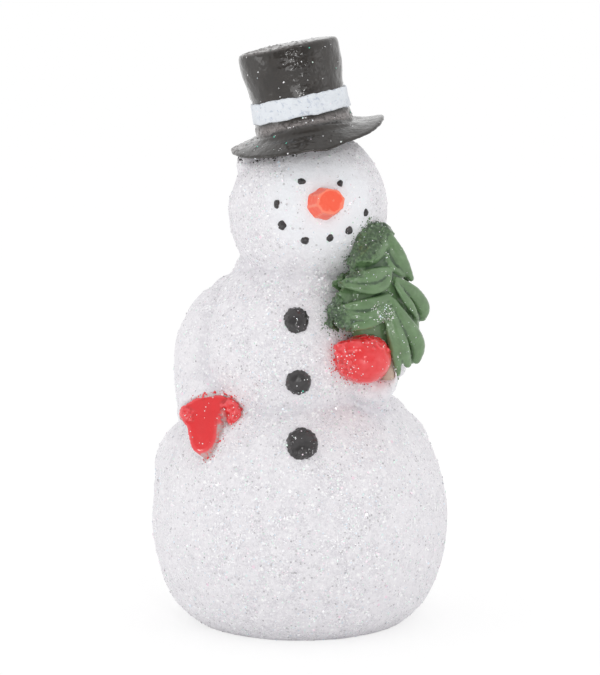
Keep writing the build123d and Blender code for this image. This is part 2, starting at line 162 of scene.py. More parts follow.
class StageSettings(bpy.types.PropertyGroup):
    """Floor, lamps and camera"""

    camera_distance: length("Camera distance", "From the figure's middle to the camera", 700.0)
    camera_height: length("Camera height", "Above the floor", 183.6)
    camera_pitch: number("Camera pitch", "Tilt below level", radians(10.25), subtype="ANGLE")
    lens: number("Lens", "Focal length in millimetres", 188.8)
    floor_size: length("Floor size", "Side of the floor", 16000.0)
    wood: colour("Wood", "Plain beech of the hidden dowels and pegs", 0.56, 0.38, 0.22)


class SnowmanSettings(bpy.types.PropertyGroup):
    """All of the snowman's settings"""

    balls: PointerProperty(type=BallSettings)
    coat: PointerProperty(type=CoatSettings)
    hat: PointerProperty(type=HatSettings)
    face: PointerProperty(type=FaceSettings)
    mittens: PointerProperty(type=MittenSettings)
    tree: PointerProperty(type=TreeSettings)
    stage: PointerProperty(type=StageSettings)


def settings():
    """The scene's snowman settings."""
    return bpy.context.scene.snowman


def shaded(rgb, share):
    """A colour made darker, or lighter by a share over 1."""
    return [channel * share for channel in rgb]


# ---- Reading the frame ----


def mesh_points(node):
    """All vertices of a CAD node, as an array."""
    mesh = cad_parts[node].data
    points = np.empty(len(mesh.vertices) * 3)
    mesh.vertices.foreach_get("co", points)
    return points.reshape(-1, 3)


def middle(node):
    """The middle of a CAD node's box."""
    low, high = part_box(node)
    return (low + high) / 2


def axle(node):
    """The axis of a slender round CAD node: its lower end and its upward direction."""
    points = mesh_points(node)
    centre = points.mean(axis=0)
    direction = np.linalg.svd(points - centre, full_matrices=False)[2][0]
    direction = direction * np.sign(direction[2])
    reach = (points - centre) @ direction
    return Vector(centre + direction * reach.min()), Vector(direction)


def reach_along(node, origin, direction):
    """How far a CAD node reaches along a direction from an origin: least and most."""
    reach = (mesh_points(node) - np.array(origin)) @ np.array(direction)
    return reach.min(), reach.max()


class Ball:
    """A turned ball of the frame: its centre, radius and half height, and places on it."""

    def __init__(self, node, half_height, flat_on_top):
        low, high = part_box(node)
        self.radius = (high.x - low.x) / 2
        self.half_height = half_height
        self.centre = (low + high) / 2
        level = high.z if flat_on_top else low.z
        points = mesh_points(node)
        rim = points[abs(points[:, 2] - level) < 0.01 * MM]
        flat_radius = np.hypot(rim[:, 0] - self.centre.x, rim[:, 1] - self.centre.y).max()
        rise = half_height * sqrt(1 - (flat_radius / self.radius) ** 2)
        self.centre.z = level - rise if flat_on_top else level + rise

    def normal(self, point):
        """The outward direction of the surface near a point."""
        offset = point - self.centre
        flat, tall = self.radius**2, self.half_height**2
        return Vector((offset.x / flat, offset.y / flat, offset.z / tall)).normalized()

    def above(self, point, lift=0.0):
        """The point on the surface that lies over or under a point, moved out by a lift."""
        offset = point - self.centre
        reach = Vector((offset.x / self.radius, offset.y / self.radius, offset.z / self.half_height)).length
        touch = self.centre + offset / reach
        return touch + self.normal(touch) * lift

    def place(self, azimuth, elevation, lift=0.0):
        """A place by its angle round from the front towards +X and its angle up, in degrees."""
        turn, rise = radians(azimuth), radians(elevation)
        outward = Vector((sin(turn), -cos(turn), 0)) * (self.radius * cos(rise))
        touch = self.centre + outward + Vector((0, 0, self.half_height * sin(rise)))
        return touch + self.normal(touch) * lift


def frame_of(origin, up, across):
    """A matrix at an origin with Z up and X as near to across as it can be."""
    up = up.normalized()
    side = (across - up * across.dot(up)).normalized()
    turned = Matrix((side, up.cross(side), up)).transposed()
    return Matrix.Translation(origin) @ turned.to_4x4()


def balls():
    """The lower ball, the torso and the head."""
    sizes = settings().balls
    return (
        Ball("lower_ball", sizes.lower_half_height, True),
        Ball("torso", sizes.torso_half_height, True),
        Ball("head", sizes.head_half_height, False),
    )


def hat_frame():
    """The hat's own place: Z up its dowel from the brim's underside, X to the left of the figure."""
    foot, up = axle("hat_dowel")
    underside = reach_along("hat_brim", foot, up)[0]
    return frame_of(foot + up * underside, up, ACROSS)


def crown_frame():
    """The crown's own place: Z up the middle of its band, from its foot on the brim."""
    points = mesh_points("hat_band")
    centre = points.mean(axis=0)
    up = np.linalg.svd(points - centre, full_matrices=False)[2][2]
    up = up * np.sign(up[2])
    foot = reach_along("hat_crown", centre, up)[0]
    return frame_of(Vector(centre + up * foot), Vector(up), ACROSS)


def tree_frame():
    """The tree's own place: Z up its trunk from its lowest bough, X across its flat."""
    foot, up = axle("tree_trunk")
    lowest = reach_along("tree", foot, up)[0]
    yaw = settings().tree.yaw
    return frame_of(foot + up * lowest, up, Vector((cos(yaw), sin(yaw), 0)))


# ---- Modelling steps ----


def pick(*pieces):
    """Selects only these pieces, and makes the first one active."""
    active = bpy.context.view_layer.objects.active
    if active and active.mode != "OBJECT":
        bpy.ops.object.mode_set(mode="OBJECT")
    bpy.ops.object.select_all(action="DESELECT")
    for piece in pieces:
        piece.select_set(True)
    bpy.context.view_layer.objects.active = pieces[0]
    return pieces[0]


def settle(piece, matrix=None):
    """Puts a piece in its place and applies it, so that the place is in the mesh."""
    pick(piece)
    if matrix:
        piece.matrix_world = matrix @ piece.matrix_world
    bpy.ops.object.transform_apply(location=True, rotation=True, scale=True)
    return piece


def apply_modifier(piece, kind, **values):
    """Adds one modifier to a piece and applies it."""
    pick(piece)
    modifier = piece.modifiers.new(kind.title(), kind)
    for name, value in values.items():
        setattr(modifier, name, value)
    bpy.ops.object.modifier_apply(modifier=modifier.name)
    return piece


def fresh(add, **values):
    """Adds one object with an operator, with nothing else selected."""
    bpy.ops.object.select_all(action="DESELECT")
    add(**values)
    return bpy.context.object


def linked(name, mesh):
    """A new piece in the scene with a mesh of its own."""
    piece = bpy.data.objects.new(name, mesh)
    bpy.context.scene.collection.objects.link(piece)
    return piece


@contextmanager
def editing(piece):
    """Edit mode on one piece, with all of it selected at first."""
    pick(piece)
    bpy.ops.object.mode_set(mode="EDIT")
    bpy.ops.mesh.select_all(action="SELECT")
    yield
    bpy.ops.object.mode_set(mode="OBJECT")


def bead(centre, radii, turned=None, segments=32):
    """A ball of three radii about a centre, turned by a matrix."""
    mesh = dict(segments=segments, ring_count=segments // 2)
    piece = fresh(bpy.ops.mesh.primitive_uv_sphere_add, radius=1, **mesh)
    size = Matrix.Diagonal((*radii, 1))
    piece.matrix_world = Matrix.Translation(centre) @ (turned or Matrix()).to_3x3().to_4x4() @ size
    return settle(piece)


def strand(points, radii):
    """A round strand along points, as thick at each as its radius, closed at both ends."""
    piece = fresh(bpy.ops.curve.primitive_nurbs_path_add)
    curve = piece.data
    curve.splines.clear()
    spline = curve.splines.new("NURBS")
    spline.points.add(len(points) - 1)
    for knot, point, radius in zip(spline.points, points, radii):
        knot.co = (*point, 1)
        knot.radius = radius
    spline.order_u = 3
    spline.use_endpoint_u = True
    spline.resolution_u = 12
    curve.bevel_depth = 1
    curve.bevel_resolution = 5
    curve.use_fill_caps = True
    pick(piece)
    bpy.ops.object.convert(target="MESH")
    return settle(bpy.context.object)


def remeshed(piece, grain, smoothing):
    """One skin of even cells over a piece, with soft creases."""
    apply_modifier(piece, "REMESH", mode="VOXEL", voxel_size=grain)
    if smoothing:
        apply_modifier(piece, "SMOOTH", factor=0.5, iterations=smoothing)
    return piece


def fuse(name, pieces, grain, smoothing):
    """Joins pieces, and makes one skin over them with soft creases."""
    piece = pick(*pieces)
    bpy.ops.object.join()
    piece.name = name
    return remeshed(piece, grain, smoothing)


def roughen(piece, depth, size, texture="CLOUDS", only=None):
    """Moves a piece's surface in and out by a noise of a given size, over all of it or a group."""
    pattern = bpy.data.textures.new(f"{piece.name} {texture.lower()} {size / MM:.2f}", texture)
    pattern.noise_scale = size
    values = dict(texture=pattern, texture_coords="GLOBAL", strength=depth, mid_level=0.5)
    if only:
        values["vertex_group"] = only
    return apply_modifier(piece, "DISPLACE", **values)


def group_by(piece, name, weight):
    """A vertex group whose weights a function of the vertex's place gives."""
    group = piece.vertex_groups.new(name=name)
    for vertex in piece.data.vertices:
        share = min(max(weight(vertex.co), 0.0), 1.0)
        if share > 0:
            group.add([vertex.index], share, "REPLACE")
    return group.name


def plate(outline, rise, crown):
    """A flat lobe: an outline raised along a direction, with its middle raised a little more."""
    piece = fresh(bpy.ops.mesh.primitive_circle_add, vertices=len(outline), radius=1, fill_type="NGON")
    for vertex, point in zip(piece.data.vertices, outline):
        vertex.co = point
    with editing(piece):
        bpy.ops.mesh.extrude_region_move(TRANSFORM_OT_translate={"value": rise})
        bpy.ops.mesh.poke(offset=0)
    raised = [vertex for vertex in piece.data.vertices if vertex.select]
    middle_point = sum((vertex.co for vertex in raised), Vector()) / len(raised)
    nearest = min(raised, key=lambda vertex: (vertex.co - middle_point).length)
    nearest.co += Vector(rise).normalized() * crown
    with editing(piece):
        bpy.ops.mesh.quads_convert_to_tris()
        bpy.ops.mesh.normals_make_consistent(inside=False)
    return piece


def strewn(name, ground, shape, per_mm2, seed, group=None, lift=0.0, sizes=(0.7, 1.25)):
    """Copies of a shape strewn over a piece, or over a group of its points, each lying askew."""
    piece = linked(name, ground.data.copy())
    if group and group not in ground.data.attributes:
        piece.vertex_groups.new(name=group)
    nodes = strewing(shape, per_mm2 / MM**2, seed, group, lift, sizes)
    return apply_modifier(piece, "NODES", node_group=nodes)


def knobbly(piece, group, per_mm2, radius, grain, seed, lift=0.0):
    """Grit under the paint: small lumps over a group of a piece's points, in one skin with it."""
    lump = bead((0, 0, 0), (radius, radius, radius * 0.8), segments=8)
    grit = strewn("grit", piece, lump, per_mm2, seed, group, lift, (0.5, 1.3))
    bpy.data.objects.remove(lump)
    return fuse(piece.name, [piece, grit], grain, 1)


def mesh_array(piece, collection, attribute, width, kind=float):
    """One property of all vertices or edges of a piece, as an array."""
    items = getattr(piece.data, collection)
    values = np.empty(len(items) * width, kind)
    items.foreach_get(attribute, values)
    return values.reshape(-1, width)


def write_attribute(piece, name, values):
    """Writes one number for each point of a piece, which its paint reads by name."""
    attribute = piece.data.attributes.get(name) or piece.data.attributes.new(name, "FLOAT", "POINT")
    attribute.data.foreach_set("value", np.clip(values, -1, 1).astype(np.float32))


def write_share(piece, name, share):
    """Marks each point with a share that a function of its place gives."""
    write_attribute(piece, name, [max(0, share(vertex.co)) for vertex in piece.data.vertices])


def write_relief(piece, depth, rounds=12):
    """Marks each point from -1 on a ridge to 1 in a hollow, for painted shade in hollows and painted
    highlights on ridges.
    """
    points = mesh_array(piece, "vertices", "co", 3)
    normals = mesh_array(piece, "vertices", "normal", 3)
    first, second = mesh_array(piece, "edges", "vertices", 2, int).T
    ends, others = np.r_[first, second], np.r_[second, first]
    count = np.bincount(ends, minlength=len(points))[:, None]
    soft = points
    for _ in range(rounds):
        total = [np.bincount(ends, soft[others, axis], len(points)) for axis in range(3)]
        soft = np.stack(total, 1) / np.maximum(count, 1)
    write_attribute(piece, "relief", ((soft - points) * normals).sum(1) / depth)


def write_nearness(piece, name, others, reach):
    """Marks each point from 1 where one of the other named pieces touches to 0 at a reach from it."""
    points = [vertex.co for other in others for vertex in bpy.data.objects[other].data.vertices]
    tree = kdtree.KDTree(len(points))
    for number, point in enumerate(points):
        tree.insert(point, number)
    tree.balance()
    distances = np.array([tree.find(vertex.co)[2] for vertex in piece.data.vertices])
    write_attribute(piece, name, 1 - np.minimum(distances / reach, 1))


def copy_of(node):
    """A merged copy of a CAD node's mesh, as a piece of its own."""
    piece = linked(f"{node}_copy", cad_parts[node].data.copy())
    with editing(piece):
        bpy.ops.mesh.remove_doubles(threshold=0.001 * MM)
    return piece


def cut_flat(piece, height):
    """Cuts a piece off below a height and closes the cut."""
    with editing(piece):
        bpy.ops.mesh.bisect(plane_co=(0, 0, height), plane_no=(0, 0, 1), clear_inner=True, use_fill=True)


def hand_over(piece, slot, material, *nodes):
    """Gives a finished piece its material and its body, and hides the CAD nodes that it stands for; the slot
    is not used.
    """
    pick(piece)
    bpy.ops.object.shade_smooth()
    piece.data.materials.clear()
    piece.data.materials.append(material)
    piece.vertex_groups.clear()
    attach(piece, BODY)
    if nodes:
        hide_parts(*nodes)


# ---- Finishes ----


class Wiring:
    """A node tree in the making, with short ways to add, feed and link its nodes."""

    def __init__(self, tree):
        self.tree = tree

    def add(self, kind, inputs=None, **values):
        """Adds a node, sets its properties and feeds its inputs."""
        node = self.tree.nodes.new(kind if "Node" in kind else f"ShaderNode{kind}")
        for name, value in values.items():
            setattr(node, name, value)
        for name, source in (inputs or {}).items():
            self.feed(node.inputs[name], source)
        return node

    def feed(self, socket, source):
        """Links an output to a socket, or sets the socket's own value."""
        if isinstance(source, bpy.types.NodeSocket):
            self.tree.links.new(source, socket)
        elif hasattr(source, "__len__") and len(source) == 3 and len(socket.default_value) == 4:
            socket.default_value = (*source, 1)
        else:
            socket.default_value = source


class Finish(Wiring):
    """A material in the making."""

    def __init__(self, name):
        self.material = bpy.data.materials.new(name)
        self.material.use_nodes = True
        super().__init__(self.material.node_tree)
        self.tree.nodes.clear()
        self.shader = self.add("BsdfPrincipled")
        self.output = self.add("OutputMaterial", {"Surface": self.shader.outputs["BSDF"]})
        self.place = self.add("TexCoord").outputs["Object"]

    def set(self, **values):
        """Sets the shader's own sockets."""
        for name, value in values.items():
            self.feed(self.shader.inputs[name.replace("_", " ")], value)

    def maths(self, operation, first, second=0.0, clamp=False):
        """One step of arithmetic."""
        return self.add("Math", {0: first, 1: second}, operation=operation, use_clamp=clamp).outputs[0]

    def times(self, first, second):
        return self.maths("MULTIPLY", first, second)

    def plus(self, first, second, clamp=False):
        return self.maths("ADD", first, second, clamp)

    def vectors(self, operation, first, second=(0.0, 0.0, 0.0)):
        """One step of arithmetic with vectors."""
        other = "Scale" if operation == "SCALE" else 1
        return self.add("VectorMath", {0: first, other: second}, operation=operation).outputs[0]

    def noise(self, size, detail=2.0, roughness=0.5, distortion=0.0):
        """A noise from 0 to 1 whose blots are about as large as a length."""
        inputs = dict(Scale=1 / size, Detail=detail, Roughness=roughness, Distortion=distortion)
        return self.add("TexNoise", dict(Vector=self.place, **inputs)).outputs["Fac"]

    def cells(self, size):
        """Cells of about a length across: the distance from each middle, and a colour for each."""
        outputs = self.add("TexVoronoi", dict(Vector=self.place, Scale=1 / size, Randomness=1.0)).outputs
        return outputs["Distance"], outputs["Color"]

    def ramp(self, source, low, high):
        """0 below low, 1 above high, and smooth between."""
        inputs = {"Value": source, "From Min": low, "From Max": high}
        return self.add("MapRange", inputs, interpolation_type="SMOOTHSTEP").outputs["Result"]

    def mix(self, share, first, second):
        """One colour over another on a share of the surface."""
        inputs = {"Factor": share, 6: first, 7: second}
        return self.add("Mix", inputs, data_type="RGBA", blend_type="MIX").outputs[2]

    def channels(self, source):
        """The three channels of a colour."""
        return self.add("SeparateColor", {0: source}).outputs

    def mark(self, name):
        """A number that was written to each point of the piece."""
        return self.add("Attribute", attribute_name=name).outputs["Fac"]

    def bump(self, height, distance, strength=1.0, normal=None):
        """A normal bent by a height from 0 to 1 that stands for a real depth."""
        inputs = dict(Height=height, Distance=distance, Strength=strength)
        if normal is not None:
            inputs["Normal"] = normal
        return self.add("Bump", inputs).outputs["Normal"]

    def glitter(self, size, share, tilt):
        """Flakes of a size on a share of the surface: where they lie, their random colour, their normal."""
        distance, chance = self.cells(size)
        chosen = self.maths("LESS_THAN", self.channels(chance)[0], share)
        mask = self.times(chosen, self.maths("LESS_THAN", distance, FLAKE_SHARE_OF_CELL))
        spread = self.vectors("SUBTRACT", chance, (0.5, 0.5, 0.5))
        lean = self.vectors("SCALE", spread, self.times(mask, tilt))
        normal = self.add("NewGeometry").outputs["Normal"]
        return mask, chance, self.vectors("NORMALIZE", self.vectors("ADD", normal, lean))


# Radius of a painted flake, as a share of its cell
FLAKE_SHARE_OF_CELL = 0.42

# Tints of the glitter, each from a share of the flakes on: dark, grey, silver, pink, green, blue, white. The
# dark and the grey tints are painted reflections of dark surroundings in the flakes
DARK_REFLECTIONS_AND_TINTS = (
    (0.00, (0.50, 0.49, 0.51)),
    (0.07, (0.72, 0.71, 0.73)),
    (0.20, (0.93, 0.93, 0.95)),
    (0.66, (0.99, 0.86, 0.93)),
    (0.75, (0.82, 1.00, 0.91)),
    (0.83, (0.82, 0.92, 1.00)),
    (0.90, (1.00, 1.00, 1.00)),
)


def tinted(finish, chance):
    """The colour of a flake: mostly silver, some painted dark as a reflection of dark surroundings, some
    pink, green or blue.
    """
    node = finish.add("ValToRGB", {"Fac": finish.channels(chance)[1]})
    band = node.color_ramp
    band.interpolation = "CONSTANT"
    while len(band.elements) < len(DARK_REFLECTIONS_AND_TINTS):
        band.elements.new(0.5)
    for element, (place, rgb) in zip(band.elements, DARK_REFLECTIONS_AND_TINTS):
        element.position = place
        element.color = (*rgb, 1)
    return node.outputs["Color"]


TEAL = (0.12, 0.60, 0.44)

# Specks in the snow: cell size in millimetres, share of cells with one, its radius in the cell, its colour.
# The white specks are painted glints of the glitter, the grey ones painted dark reflections in flakes, the
# pink and the green tinted glitter
SPECKS_AND_GLINTS = (
    (0.62, 0.12, 0.34, (1.0, 1.0, 1.0)),
    (1.25, 0.10, 0.28, (1.0, 1.0, 1.0)),
    (1.30, 0.014, 0.26, (0.90, 0.66, 0.78)),
    (0.95, 0.016, 0.26, (0.72, 0.90, 0.88)),
    (0.80, 0.10, 0.30, (0.52, 0.51, 0.52)),
)

# Distances from the nose: over which the glitter thins out, and over which the face is bluer
CALM_FACE = (8 * MM, 14 * MM)
COOL_FACE = (4 * MM, 15 * MM)
# Distances from the middle plane over which the sides grow a little calmer and lighter: a painted sheen, as
# the white surroundings light the sides at grazing angles
SIDE_SHEEN = (12 * MM, 25 * MM)
# Cell sizes of the painted flakes: in the snow, in the paints, on loose film, and of stray paint
SNOW_FLAKE, PAINT_FLECK, LOOSE_FLAKE, STRAY_GRAIN = 0.45 * MM, 0.3 * MM, 0.9 * MM, 0.36 * MM

# Stray paint on the snow: the mark it follows, its strength, its colour
STRAY_PAINT = (
    ("near_red", 0.6, (0.62, 0.05, 0.08)),
    ("near_black", 1.2, (0.10, 0.10, 0.10)),
    ("near_green", 0.6, (0.12, 0.2, 0.12)),
)


def snow_finish():
    """Lavender-white paint under fine glitter, smoother on the face, with stray paint at its edges; painted
    shade in its hollows and beside the hanging mitten, painted glints and dark reflections in its specks,
    and a painted sheen that lightens its sides.
    """
    coat = settings().coat
    finish = Finish("snow_glitter")
    nose = Ball("head", settings().balls.head_half_height, False).above(middle("carrot_nose"))
    from_nose = finish.vectors("SUBTRACT", finish.place, tuple(nose))
    away = finish.add("VectorMath", {0: from_nose}, operation="LENGTH").outputs["Value"]
    off_face = finish.plus(finish.times(finish.ramp(away, *CALM_FACE), 0.85), 0.15)
    sideways = finish.add("SeparateXYZ", {0: finish.place}).outputs["X"]
    # Painted sheen: the sides get less mottle and less glitter, so that they render lighter, as if lit by
    # the white surroundings at grazing angles
    beside = finish.ramp(finish.maths("ABSOLUTE", sideways), *SIDE_SHEEN)
    off_face = finish.times(off_face, finish.maths("SUBTRACT", 1.0, finish.times(beside, 0.35)))
    patchy = finish.ramp(finish.noise(3.5 * MM, 4, 0.6), 0.38, 0.62)
    share = finish.plus(finish.times(patchy, 0.50), 0.12)
    mask, chance, tilted = finish.glitter(SNOW_FLAKE, finish.times(share, off_face), 0.8)
    hollow = finish.ramp(finish.noise(0.9 * MM, 4, 0.65), 0.34, 0.72)
    fine = finish.ramp(finish.noise(0.30 * MM, 2), 0.40, 0.66)
    # Painted shade: where the relief mark finds a hollow, the coat is drawn towards the shade colour
    deep = finish.ramp(finish.mark("relief"), -0.2, 1.0)
    grainy = finish.times(finish.times(fine, patchy), 0.85)
    shading = finish.times(finish.plus(finish.times(hollow, 0.58), grainy), off_face)
    shading = finish.plus(shading, finish.times(deep, 0.35), clamp=True)
    ground = finish.mix(finish.ramp(away, *COOL_FACE), coat.face_snow, coat.snow)
    paint = finish.mix(shading, ground, coat.shade)
    finish.set(Roughness=finish.maths("SUBTRACT", 0.60, finish.times(mask, 0.34)))
    finish.set(Metallic=finish.times(mask, 0.22))
    paint = finish.mix(mask, paint, tinted(finish, chance))
    # Painted glints in white and painted dark reflections in grey, among pink and green glitter
    for size, odds, radius, rgb in SPECKS_AND_GLINTS:
        distance, draw = finish.cells(size * MM)
        here = finish.maths("LESS_THAN", finish.channels(draw)[0], finish.times(off_face, odds))
        near = finish.ramp(distance, radius + 0.08, radius - 0.08)
        paint = finish.mix(finish.times(finish.times(here, near), 0.75), paint, rgb)
    distance, draw = finish.cells(STRAY_GRAIN)
    draw = finish.channels(draw)[0]
    close = finish.maths("LESS_THAN", distance, 0.46)
    for name, strength, rgb in STRAY_PAINT:
        near = finish.mark(name)
        here = finish.maths("LESS_THAN", draw, finish.times(finish.times(near, near), strength))
        paint = finish.mix(finish.times(here, close), paint, rgb)
    # Painted shade: grey-pink on the snow right beside the hanging mitten
    bared = finish.times(finish.ramp(finish.mark("bared"), 0.45, 0.85), 0.7)
    finish.set(Base_Color=finish.mix(bared, paint, settings().mittens.mitten_wall_shade))
    finish.set(Normal=finish.bump(finish.noise(0.45 * MM, 5, 0.65), 0.18 * MM, 0.9, tilted))
    return finish.material


def flake_finish(name, teal):
    """Loose glitter flakes: polished film in silver and faint tints, and a share of them teal."""
    finish = Finish(name)
    chance = finish.cells(LOOSE_FLAKE)[1]
    is_teal = finish.maths("LESS_THAN", finish.channels(chance)[2], teal)
    finish.set(Base_Color=finish.mix(is_teal, tinted(finish, chance), TEAL), Metallic=0.05, Roughness=0.22)
    return finish.material


def speckled_paint(name, paint, second, roughness, fleck_share, **more):
    """Hand-brushed paint with streaks, a fine grain and a few glitter flecks.

    More may give: grain and depth (of the fine grain, in millimetres), shade_in_hollows (the colour of the
    painted shade in the hollows), edge_sheen (of the painted highlight on the ridges), stain (the colour
    that the piece's mark draws), smudge (in patches), gloss.
    """
    finish = Finish(name)
    brushed = finish.mix(finish.ramp(finish.noise(2.2 * MM, 4, 0.6, 0.6), 0.30, 0.72), paint, second)
    relief = finish.mark("relief")
    # Painted shade: the hollows that the relief mark finds are drawn towards a darker colour
    if "shade_in_hollows" in more:
        brushed = finish.mix(finish.ramp(relief, 0.05, 0.9), brushed, more["shade_in_hollows"])
    # Painted highlight: the ridges that the relief mark finds are drawn towards a paler colour
    if "edge_sheen" in more:
        brushed = finish.mix(finish.ramp(finish.times(relief, -1.0), 0.15, 0.9), brushed, more["edge_sheen"])
    # The colour that the piece's mark draws: a painted sheen on the hat's gritty edges, painted shade on the
    # wall under the hanging mitten, and darker green on the tree's rough parts
    if "stain" in more:
        patchy = finish.ramp(finish.noise(0.5 * MM, 3, 0.6), 0.25, 0.6)
        brushed = finish.mix(finish.times(finish.mark("stain"), patchy), brushed, more["stain"])
    if "smudge" in more:
        blots = finish.ramp(finish.noise(1.0 * MM, 5, 0.7, 0.5), 0.52, 0.68)
        brushed = finish.mix(finish.times(blots, 0.75), brushed, more["smudge"])
    mask, chance, tilted = finish.glitter(PAINT_FLECK, fleck_share, 1.2)
    grainy = finish.noise(more.get("grain", 0.45) * MM, 5, 0.65)
    finish.set(Base_Color=finish.mix(mask, brushed, tinted(finish, chance)))
    finish.set(Metallic=finish.times(mask, 0.5))
    finish.set(Roughness=finish.plus(finish.times(grainy, 0.25), roughness - 0.12))
    rippled = finish.mark("rippled")
    height = finish.plus(grainy, finish.times(finish.times(finish.noise(0.35 * MM, 3), rippled), 3.0))
    glaze = finish.times(finish.noise(0.8 * MM, 1), finish.plus(finish.times(rippled, 3.0), 0.6))
    depth = more.get("depth", 0.05) * MM
    finish.set(Normal=finish.bump(height, depth, 0.8, tilted))
    finish.set(Coat_Normal=finish.bump(glaze, depth * 0.45, 0.8))
    gloss = more.get("gloss", 0.0)
    finish.set(Coat_Weight=gloss, Coat_Roughness=0.11, Specular_IOR_Level=0.5 - 0.35 * gloss)
    return finish.material


def wood_finish():
    """Plain beech with fine grain along Z, for the hidden dowels and pegs."""
    finish = Finish("bare_beech")
    finish.place = finish.add("Mapping", dict(Vector=finish.place, Scale=(1, 1, 0.12))).outputs["Vector"]
    grain = finish.noise(0.7 * MM, 5, 0.7, 1.0)
    wood = settings().stage.wood
    finish.set(Base_Color=finish.mix(grain, shaded(wood, 0.62), wood))
    finish.set(Roughness=finish.plus(finish.times(grain, 0.2), 0.5))
    finish.set(Normal=finish.bump(grain, 0.04 * MM, 0.6))
    return finish.material


# ---- Pieces ----


# Pieces whose stray paint lies on the snow, by the mark that tells how near they are
PAINTED_NEIGHBOURS = {
    "near_red": ("right_mitten_skin", "left_mitten_skin"),
    "near_black": ("brim",),
    "near_green": ("tree_boughs",),
}
# Height over the floor in which the coat's foot draws in
FOOT_HEIGHT = 5 * MM


class SNOWMAN_OT_coat(bpy.types.Operator):
    """Snow coat over the three balls and both arms, in one skin"""

    bl_idname = "snowman.coat"
    bl_label = "Snow coat"

    def execute(self, context):
        coat = settings().coat
        lumps = coat_lumps(coat.thickness)
        cut_flat(lumps[0], -0.35 * MM)
        piece = fuse("snow_coat", lumps, coat.grain, 9)
        dent_coat(piece)
        roughen(piece, coat.lump_depth, 6 * MM)
        roughen(piece, coat.ripple_depth, 1.2 * MM)
        cut_flat(piece, 0.0)
        write_relief(piece, 0.12 * MM)
        for name, others in PAINTED_NEIGHBOURS.items():
            write_nearness(piece, name, others, coat.overspray)
        # The snow right beside the hanging mitten is marked for grey-pink painted shade
        write_nearness(piece, "bared", ("right_mitten_skin",), 1.3 * MM)
        nodes = ("lower_ball", "torso", "head", "right_arm", "left_arm")
        hand_over(piece, "glitter_white", snow_finish(), *nodes)
        return {"FINISHED"}


def coat_lumps(thickness):
    """What the coat is fused from: the grown balls, both arms, and clumps of snow."""
    lower, torso, head = balls()
    lumps = []
    for ball in (lower, torso, head):
        grown = ball.radius + thickness
        lumps.append(bead(ball.centre, (grown, grown, ball.half_height + thickness), segments=128))
    cheek_and_neck = (
        (head.place(-52, -26, -11.2 * MM), (11.0, 11.0, 10.4)),
        ((torso.centre + head.centre) / 2, (13.2, 13.2, 6.0)),
    )
    clumps = (
        # on the figure's right: under the arm, beside the hat
        (torso.centre + Vector((-11.6, 0.5, 10.2)) * MM, (5.2, 6.5, 5.0)),
        (head.centre + Vector((-11.6, -1.5, 9.0)) * MM, (2.6, 3.8, 3.4)),
        # on both sides of the lower ball
        (lower.place(-88, 27, -8.2 * MM), (10.4, 10.4, 10.4)),
        (lower.place(-84, 40, -7.2 * MM), (8.6, 8.6, 8.4)),
        (lower.place(84, 37, -8.4 * MM), (9.6, 9.6, 9.6)),
        (lower.place(84, 50, -5.6 * MM), (6.8, 6.8, 6.8)),
        (lower.place(-88, 14, -8.2 * MM), (8.9, 8.9, 8.9)),
        # at the waist and the neck, on the figure's right
        (lower.centre + Vector((-20.4, -2.0, 22.4)) * MM, (4.4, 4.4, 4.4)),
        (torso.centre + Vector((-6.9, 0.5, 15.9)) * MM, (4.8, 4.8, 4.8)),
    )
    lumps += [clump(*each) for each in cheek_and_neck]
    lumps += [copy_of("right_arm"), copy_of("left_arm")]
    lumps.append(bead(tree_frame() @ Vector((0, 0, -1.6 * MM)), (2.6 * MM, 2.4 * MM, 2.4 * MM)))
    return lumps + [clump(*each) for each in clumps]


def clump(place, radii):
    """A clump of snow about a place, its radii in millimetres."""
    return bead(place, [radius * MM for radius in radii], segments=64)


def dent_coat(piece):
    """Presses the coat in at the waist, beside the torso and beside the head, and draws its foot in."""
    lower, torso, head = balls()
    waist = (lower.centre + torso.centre) / 2
    pinched = [v.co for v in piece.data.vertices if abs(v.co.z - waist.z - 9.9 * MM) < 0.6 * MM]
    # Place, reach, depth, and how little the dent narrows from front to back
    dents = (
        (max(pinched, key=lambda point: point.x).copy(), 4.4 * MM, 3.6 * MM, 0.25),
        (Vector((-22.4 * MM, 0, torso.centre.z + 8 * MM)), 8 * MM, 0.8 * MM, 1),
        (head.centre + Vector((-15.2, 0, 5.6)) * MM, 4.5 * MM, 0.9 * MM, 1),
    )
    for vertex in piece.data.vertices:
        for place, reach, depth, along in dents:
            offset = vertex.co - place
            offset.y *= along
            near = max(1 - offset.length / reach, 0)
            inward = Vector((place.x, place.y, 0)).normalized()
            vertex.co -= inward * (depth * near**2 * (3 - 2 * near))
        if vertex.co.z < FOOT_HEIGHT:
            low = (1 - max(vertex.co.z, 0) / FOOT_HEIGHT) ** 2
            vertex.co.x = vertex.co.x * (1 - 0.075 * low) + 0.2 * MM * low
            vertex.co.y *= 1 - 0.06 * low


# Grains of stray paint: mark they follow, slot, source, number on a square millimetre, reach in millimetres
SPATTER = (
    ("near_black", "hat_black", "brim", 9.0, 2.0),
    ("near_green", "fir_green", "tree_boughs", 2.5, 0.9),
    ("near_red", "mitten_red", "left_mitten_skin", 2.2, 0.9),
)


def everywhere(point):
    """A full share at every point."""
    return 1.0


